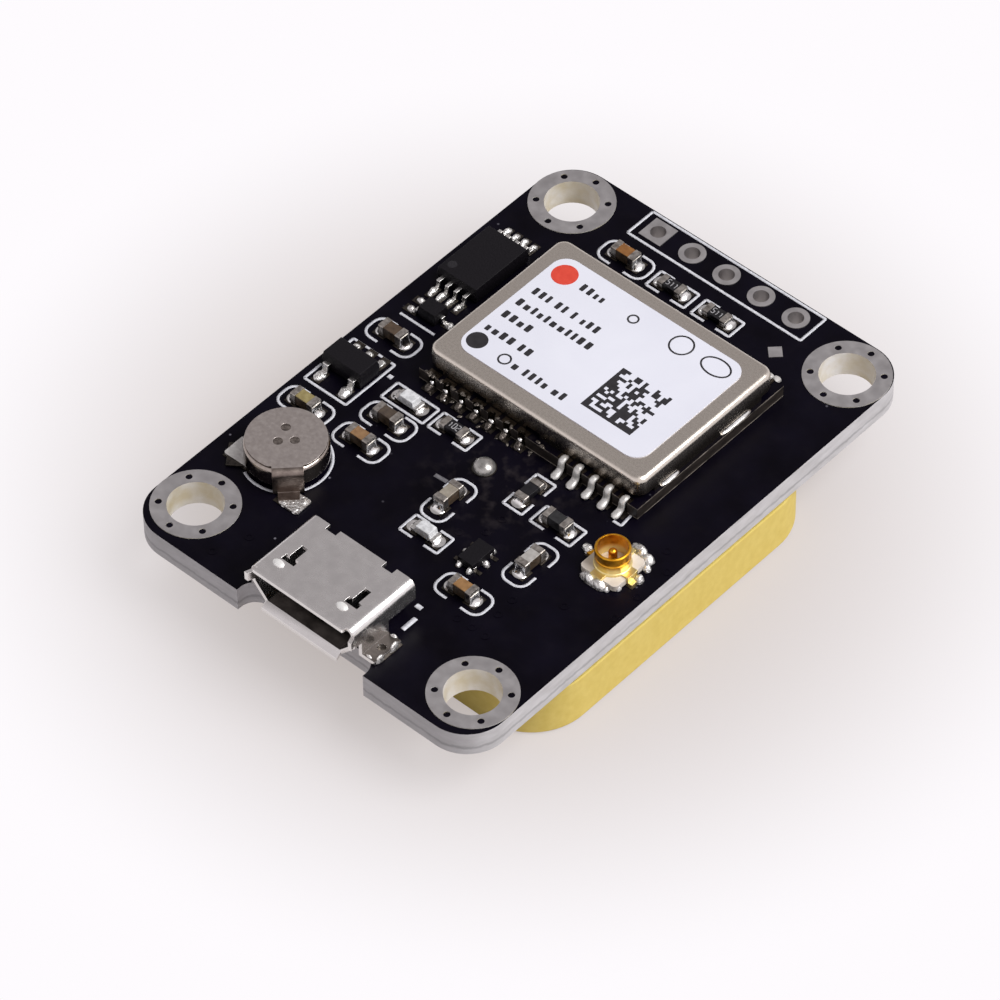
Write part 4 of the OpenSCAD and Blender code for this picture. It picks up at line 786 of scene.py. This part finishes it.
# Lumps round the coaxial socket, the USB shell's feet and the cell's strap: x, y, and half sizes
COAXIAL_LUMPS = [
    (9.45, -5.4, 0.5, 0.32, 0.42), (10.15, -5.4, 0.52, 0.34, 0.42), (10.68, -5.36, 0.2, 0.18, 0.25),
    (10.25, -2.1, 0.6, 0.36, 0.42), (10.95, -2.3, 0.42, 0.36, 0.36), (11.3, -2.8, 0.3, 0.26, 0.3),
    (8.0, -3.8, 0.34, 0.3, 0.28), (11.56, -3.68, 0.28, 0.3, 0.36), (10.98, -4.82, 0.32, 0.24, 0.3),
]
FOOT_LUMPS = [
    (4.94, -15.9, 0.16, 0.42, 0.38), (4.96, -17.05, 0.15, 0.36, 0.36), (4.5, -15.45, 0.3, 0.14, 0.36),
    (4.5, -17.38, 0.3, 0.12, 0.34), (-4.1, -16.2, 0.2, 0.8, 0.36),
]
STRAP_LUMPS = [
    (-5.8, -12.2, 0.3, 0.24, 0.13), (-6.6, -12.25, 0.3, 0.2, 0.13), (-5.8, -11.5, 0.3, 0.26, 0.14),
]
for x, y, *half_sizes in COAXIAL_LUMPS + FOOT_LUMPS + STRAP_LUMPS:
    lumps.append(((x, y, SEAT), (0, 0, chance.uniform(-15, 15)), half_sizes))
seated(scatter("solder_lumps", LUMP, lumps, crinkled_solder), "solder")

# Flat solder on the lands of the cell's two tabs, the lower one just over its tab
TAB_COVER = 0.012
over_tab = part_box("cell_lower_tab")[1].z / MM - SEAT + TAB_COVER
strap_plate = [((-6.15, -11.79, SEAT), (0, 0, 2), (1.4, 1.24, 0.1))]
tab_plate = [((-10.75, -10.9, SEAT), (0, 0, 1), (1.7, 1.6, over_tab))]
seated(scatter("strap_solder_plate", tile_form(0.1), strap_plate, crinkled_solder), "solder")
seated(scatter("tab_solder_plate", tile_form(0.1), tab_plate, frosted_solder), "solder")

# Dome on the feed pin
FEED_R, FEED_H = 0.66, 0.5
feed_mid, _ = box_of("aerial_pin")
feed = [((feed_mid.x, feed_mid.y, SEAT), LEVEL, (FEED_R, FEED_R, FEED_H))]
seated(scatter("feed_dome", DOME, feed, dulled_solder), "solder")

# Header barrels: tinned sleeves in the row of header holes
HEADER_HOLES, HEADER_PITCH, HEADER_BORE = 5, 2.54, 0.5
header_mid, header_size = box_of("header_pads")
barrels = []
for i in range(HEADER_HOLES):
    x = header_mid.x + (i - (HEADER_HOLES - 1) / 2) * HEADER_PITCH
    place = (x, header_mid.y, header_mid.z - header_size.z / 2)
    barrels.append((place, LEVEL, (HEADER_BORE, HEADER_BORE, header_size.z)))
seated(scatter("header_barrels", sleeve_form(), barrels, tin), "tin_plating")

# Tented vias: small holes sealed under the mask, each a low ring round a shallow dip
VIA_R, VIA_H = 0.27, 0.025
VIAS = [
    (9.73, -7.65), (7.46, -10.41), (7.98, -12.02), (7.35, -9.17), (3.03, -6.46), (1.93, -7.43),
    (3.05, -5.19), (11.27, -1.03), (12.26, -2.17), (12.23, -4.58), (12.3, -6.52), (7.03, -12.01),
    (6.01, -12.07), (-7.14, -17.26), (-6.34, -15.2),
]
via_spots = [((x, y, 0), LEVEL, (VIA_R, VIA_R, VIA_H)) for x, y in VIAS]
seated(scatter("tented_vias", sleeve_form(0.45, 20), via_spots, mask), "solder_mask")

# Weld spots in the cell's plate, dark from the heat and a little sunk, at places along and across the tab
TAB_TURN = math.radians(-45)
WELD_D, WELD_FLOOR, WELD_H = 0.55, 0.06, 0.05
WELD_PLACES = ((-0.8, 0), (0.2, 0.46), (0.2, -0.46))
plate_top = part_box("cell_upper_tab")[1].z / MM
welds = []
for along, across in WELD_PLACES:
    x = CELL_MID.x + along * math.cos(TAB_TURN) - across * math.sin(TAB_TURN)
    y = CELL_MID.y + along * math.sin(TAB_TURN) + across * math.cos(TAB_TURN)
    welds.append(((x, y, plate_top - WELD_FLOOR), LEVEL, (WELD_D, WELD_D, WELD_H)))
seated(scatter("weld_spots", tile_form(0.5, 8), welds, scorch), "tab_steel")

# Latch dimples, pressed up beside the slots in the USB shell's top sheet, coated pale as a painted highlight
USB_TOP, DIMPLE_Y = 2.55, -17.12
DIMPLE_SUNK, DIMPLE = 0.01, (0.4, 0.26, 0.15)
dimples = [((x, DIMPLE_Y, USB_TOP - DIMPLE_SUNK), LEVEL, DIMPLE) for x in (-2.22, 2.4)]
seated(scatter("latch_dimples", DOME, dimples, burnished_steel), "socket_steel")

# Round mark of the mould at the memory chip's first lead
MARK_R, MARK_SUNK, MARK_H = 0.3, 0.004, 0.012
memory_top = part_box("memory_chip")[1].z / MM
mould_mark = [((-11.2, 6.5, memory_top - MARK_SUNK), LEVEL, (MARK_R, MARK_R, MARK_H))]
seated(scatter("memory_dimple", DOME, mould_mark, dimple), "chip_epoxy")


# Legend print on the board, in mm
LEGEND_W, DASH_W, TRACE_W, LEGEND_INK = 0.17, 0.3, 0.26, 0.02
SQUARE_CORNER = 0.08
# Brackets of each kind of part: length, width, where the arms stop short of the middle, and corner radius
BRACKETS = {
    "capacitor": (3.36, 1.68, 0.5, 0.62), "resistor": (2.8, 1.36, 0.43, SQUARE_CORNER),
    "inductor": (2.88, 1.4, 0.43, SQUARE_CORNER), "lamp_2": (2.74, 1.38, 0.43, SQUARE_CORNER),
}
LAMP_FRAME_HALF = Vector((1.55, 0.69))


def bracket(node, length, width, inner, corner):
    """Two end brackets round a small part, with arms that stop short of its middle."""
    middle, size = box_of(node)
    lies = size.x > size.y
    paths = []
    for side in (1, -1):
        form = [(side * inner, width / 2), (side * length / 2, width / 2),
                (side * length / 2, -width / 2), (side * inner, -width / 2)]
        turned = form if lies else [(-y, x) for x, y in form]
        paths.append(([(middle.x + x, middle.y + y) for x, y in turned], corner, False))
    return paths


def frame_line(x0, y0, x1, y1):
    """A closed rectangle between two corners."""
    return ([(x0, y0), (x1, y0), (x1, y1), (x0, y1)], SQUARE_CORNER, True)


def stroke(*points, corner=0.0):
    """An open line through a few points."""
    return (points, corner, False)


def arc(centre, radius, start, end, steps=24):
    """An open arc, with its ends in degrees."""
    angles = [math.radians(start + (end - start) * i / steps) for i in range(steps + 1)]
    points = [(centre[0] + radius * math.cos(a), centre[1] + radius * math.sin(a)) for a in angles]
    return (points, 0.0, False)


legend = []
for node in SMALL_PARTS:
    kind = node if node in BRACKETS else node.split("_")[0]
    if kind in BRACKETS:
        legend += bracket(node, *BRACKETS[kind])
# Frames round the first lamp and the header row
lamp_mid = box_of("lamp_1")[0].xy
legend.append(frame_line(*(lamp_mid - LAMP_FRAME_HALF), *(lamp_mid + LAMP_FRAME_HALF)))
legend.append(frame_line(-6.2, 15.65, 6.55, 17.85))
# Open frame round the regulator, a line by the transistor, and the receiver's corner mark
legend.append(stroke((-12.19, -3.2), (-12.19, -4.62), (-9.07, -4.62), (-9.07, -0.61), (-12.19, -0.61),
                     (-12.19, -1.6), corner=SQUARE_CORNER))
legend.append(stroke((-11.57, 2.55), (-9.0, 2.55)))
legend.append(stroke((7.65, -1.32), (8.22, -1.31), (8.09, -0.26), corner=0.1))
# Ring round the cell, open at its tabs
CELL_RING, CELL_RING_R = (-8.72, -9.67), 2.5
legend.append(arc(CELL_RING, CELL_RING_R, -115.5, -57.5))
legend.append(arc(CELL_RING, CELL_RING_R, -25.6, 65))
seated(draw("legend_lines", legend, LEGEND_W, LEGEND_INK, 0.0, white_ink), "label_film")
dashes = [stroke((4.37, -14.6), (4.37, -13.55)), stroke((3.74, -12.85), (4.16, -12.85)),
          stroke((-8.82, -1.42), (-8.52, -1.42))]
seated(draw("legend_dashes", dashes, DASH_W, LEGEND_INK, 0.0, white_ink), "label_film")
# Short end of a trace that shows through the mask
trace_end = [stroke((-1.87, -5.21), (-1.02, -5.15))]
seated(draw("trace_stub", trace_end, TRACE_W, LEGEND_INK, 0.0, grey_trace), "tin_plating")

# Value codes on three resistors: plain figures of straight strokes in a box of one by one
FIGURES = {
    "0": ([(0, 0), (1, 0), (1, 1), (0, 1)], True), "1": ([(0.2, 0.75), (0.6, 1), (0.6, 0)], False),
    "2": ([(0, 1), (1, 1), (1, 0.52), (0, 0.48), (0, 0), (1, 0)], False),
    "5": ([(1, 1), (0, 1), (0, 0.55), (1, 0.5), (1, 0), (0, 0)], False),
}
FIGURE_W, FIGURE_H, FIGURE_PITCH = 0.17, 0.4, 0.27
FIGURE_LINE, FIGURE_CORNER, INK = 0.055, 0.05, 0.008
codes = []
for node, code in {"resistor_1": "511", "resistor_2": "511", "resistor_3": "102"}.items():
    middle, _ = box_of(node)
    for i, figure in enumerate(code):
        strokes, closed = FIGURES[figure]
        x0 = middle.x + (i - 1) * FIGURE_PITCH - FIGURE_W / 2
        y0 = middle.y - FIGURE_H / 2
        codes.append(([(x0 + x * FIGURE_W, y0 + y * FIGURE_H) for x, y in strokes], FIGURE_CORNER, closed))
resistor_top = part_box("resistor_1")[1].z / MM
seated(draw("value_codes", codes, FIGURE_LINE, INK, resistor_top, pale_ink), "resistor_glaze")

# Label print: rows of plain blocks in place of words, two discs, squares laid by chance, and empty rings
label_mid, label_size = box_of("receiver_label")
label_top = label_mid.z + label_size.z / 2
BLOCK_H, BLOCK_GAP, WORD_GAP = 0.56, 0.22, 0.46
# Each row's height on the board, its start, and the blocks in each of its words
ROWS = [(9.0, -3.75, (4,)), (7.05, -5.55, (3, 2, 1, 3)), (5.85, -5.68, (11,)), (4.65, -5.66, (4,)),
        (3.3, -5.68, (4, 2)), (2.05, -2.6, (1, 4, 2))]
blocks = []
for y, x, words in ROWS:
    for letters in words:
        for _ in range(letters):
            width = chance.choice((0.22, 0.28, 0.34))
            height = BLOCK_H * chance.choice((1, 1, 0.72))
            place = (x + width / 2, y - (BLOCK_H - height) / 2, label_top)
            blocks.append((place, LEVEL, (width, height, INK)))
            x += width + BLOCK_GAP
        x += WORD_GAP - BLOCK_GAP
seated(scatter("label_blocks", tile_form(0.16), blocks, black_ink), "label_film")

DOT_D, RED_D = 1.25, 1.55
dot = [((-5.34, 2.12, label_top), LEVEL, (DOT_D, DOT_D, INK))]
red_mark = [((-5.05, 9.05, label_top), LEVEL, (RED_D, RED_D, INK))]
seated(scatter("label_dot", tile_form(0.5, 12), dot, black_ink), "label_film")
seated(scatter("label_red_mark", tile_form(0.5, 10), red_mark, red_ink), "label_film")

SQUARES, SQUARE = 17, 0.21
SQUARES_X, SQUARES_Y = 2.08, 2.3
squares_chance = random.Random(7)
squares = []
for i in range(SQUARES):
    for j in range(SQUARES):
        on_edge = i == 0 or j == 0
        if on_edge or squares_chance.random() < 0.5:
            place = (SQUARES_X + (i + 0.5) * SQUARE, SQUARES_Y + (j + 0.5) * SQUARE, label_top)
            squares.append((place, LEVEL, (SQUARE, SQUARE, INK)))
seated(scatter("label_block", tile_form(), squares, black_ink), "label_film")


def oval(x, y, half_width, half_height, steps):
    """A closed oval round a middle."""
    angles = [math.tau * i / steps for i in range(steps)]
    return ([(x + half_width * math.cos(a), y + half_height * math.sin(a)) for a in angles], 0.0, True)


RING_LINE = 0.11
label_rings = [oval(3.36, 9.25, 0.7, 0.7, 31), oval(-3.25, 2.05, 0.36, 0.36, 25),
               oval(0.05, 9.0, 0.3, 0.3, 25), oval(5.85, 9.25, 0.95, 0.62, 32)]
seated(draw("label_rings", label_rings, RING_LINE, INK, label_top, black_ink), "label_film")


# Studio: a pale floor under the module that fades to white, seen from above only; darker and warmer near the
# module as a painted soft shadow
FLOOR_Z = solid_low.z - 0.02 * MM
FLOOR_HALF = 3.0
PAINTED_SHADOW_FROM, PAINTED_SHADOW_TO = 13, 35
WHITE = "#fefbfe"
corners = [(x * FLOOR_HALF, y * FLOOR_HALF, FLOOR_Z) for x, y in ((-1, -1), (1, -1), (1, 1), (-1, 1))]
sheet = bpy.data.meshes.new("floor")
sheet.from_pydata(corners, [], [(0, 1, 2, 3)])
floor = bpy.data.objects.new("floor", sheet)
scene.collection.objects.link(floor)
paper = bpy.data.materials.new("pale_floor")
paper.use_nodes = True
tree = paper.node_tree
tree.nodes.clear()
rays = add(tree, "ShaderNodeLightPath").outputs
looked_at = add(tree, "ShaderNodeMath", {0: rays["Is Camera Ray"], 1: rays["Is Glossy Ray"]},
                operation="MAXIMUM")
shown_to = add(tree, "ShaderNodeMath", {0: looked_at.outputs[0], 1: rays["Is Transmission Ray"]},
               operation="MAXIMUM")
where = add(tree, "ShaderNodeTexCoord").outputs["Object"]
far = add(tree, "ShaderNodeVectorMath", {0: where}, operation="LENGTH")
# Painted soft shadow: the floor is darker near the module and fades to white further out
painted_shadow_fade = add(tree, "ShaderNodeMapRange", {0: far.outputs["Value"], 1: PAINTED_SHADOW_FROM * MM, 2: PAINTED_SHADOW_TO * MM},
           interpolation_type="SMOOTHSTEP")
matt = add(tree, "ShaderNodeBsdfDiffuse", {"Color": paint("#c6c2c3")})
shade = add(tree, "ShaderNodeBsdfDiffuse", {"Color": paint("#878586")})
lift = add(tree, "ShaderNodeEmission", {"Color": paint("#fdf2ee"), "Strength": 0.465})
near_painted_shadow = add(tree, "ShaderNodeAddShader", {0: shade.outputs[0], 1: lift.outputs[0]})
white = add(tree, "ShaderNodeEmission", {"Color": paint(WHITE), "Strength": 1.0})
shown = add(tree, "ShaderNodeMixShader", {0: painted_shadow_fade.outputs[0], 1: near_painted_shadow.outputs[0], 2: white.outputs[0]})
lit = add(tree, "ShaderNodeMixShader", {0: shown_to.outputs[0], 1: matt.outputs[0], 2: shown.outputs[0]})
back = add(tree, "ShaderNodeNewGeometry").outputs["Backfacing"]
clear = add(tree, "ShaderNodeBsdfTransparent")
open_below = add(tree, "ShaderNodeMixShader", {0: back, 1: lit.outputs[0], 2: clear.outputs[0]})
add(tree, "ShaderNodeOutputMaterial", {"Surface": open_below.outputs[0]})
sheet.materials.append(paper)
floor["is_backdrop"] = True

# Surround: white behind the module, a weak even light, and a grey ceiling for metal to mirror
CEILING_LEAN = (-0.5, 0.4, 1.0)
world = bpy.data.worlds.new("studio")
scene.world = world
world.use_nodes = True
tree = world.node_tree
tree.nodes.clear()
rays = add(tree, "ShaderNodeLightPath").outputs
mirrored = add(tree, "ShaderNodeMath", {0: rays["Is Glossy Ray"], 1: rays["Is Transmission Ray"]},
               operation="MAXIMUM")
way = add(tree, "ShaderNodeTexCoord").outputs["Generated"]
lean = add(tree, "ShaderNodeVectorMath", {0: way, 1: CEILING_LEAN}, operation="DOT_PRODUCT")
rise = add(tree, "ShaderNodeMapRange", {0: lean.outputs["Value"], 1: 0.3, 2: 1.0},
           interpolation_type="SMOOTHSTEP")
ceiling = add(tree, "ShaderNodeMix", {0: rise.outputs[0], 6: paint("#fdf8fc"), 7: paint("#aeaaac")},
              data_type="RGBA")
ambient = add(tree, "ShaderNodeBackground", {"Color": paint("#fbf8fb"), "Strength": 0.32})
around = add(tree, "ShaderNodeBackground", {"Color": ceiling.outputs[2], "Strength": 1.0})
backdrop = add(tree, "ShaderNodeBackground", {"Color": paint(WHITE), "Strength": 1.0})
unseen = add(tree, "ShaderNodeMixShader", {
    0: mirrored.outputs[0], 1: ambient.outputs[0], 2: around.outputs[0]})
sky = add(tree, "ShaderNodeMixShader", {
    0: rays["Is Camera Ray"], 1: unseen.outputs[0], 2: backdrop.outputs[0]})
add(tree, "ShaderNodeOutputWorld", {"Surface": sky.outputs[0]})

# One large soft lamp, to the right of the module and above it, in metres and watts
KEY_PLACE = Vector((0.27, 0.1, 0.37))
KEY_SIDE, KEY_POWER = 0.3, 2.15
key = bpy.data.lights.new("key", "AREA")
key.shape = "SQUARE"
key.size = KEY_SIDE
key.energy = KEY_POWER
softbox = bpy.data.objects.new("key", key)
softbox.location = KEY_PLACE
softbox.rotation_euler = (-KEY_PLACE).to_track_quat("-Z", "Y").to_euler()
scene.collection.objects.link(softbox)

low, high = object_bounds()
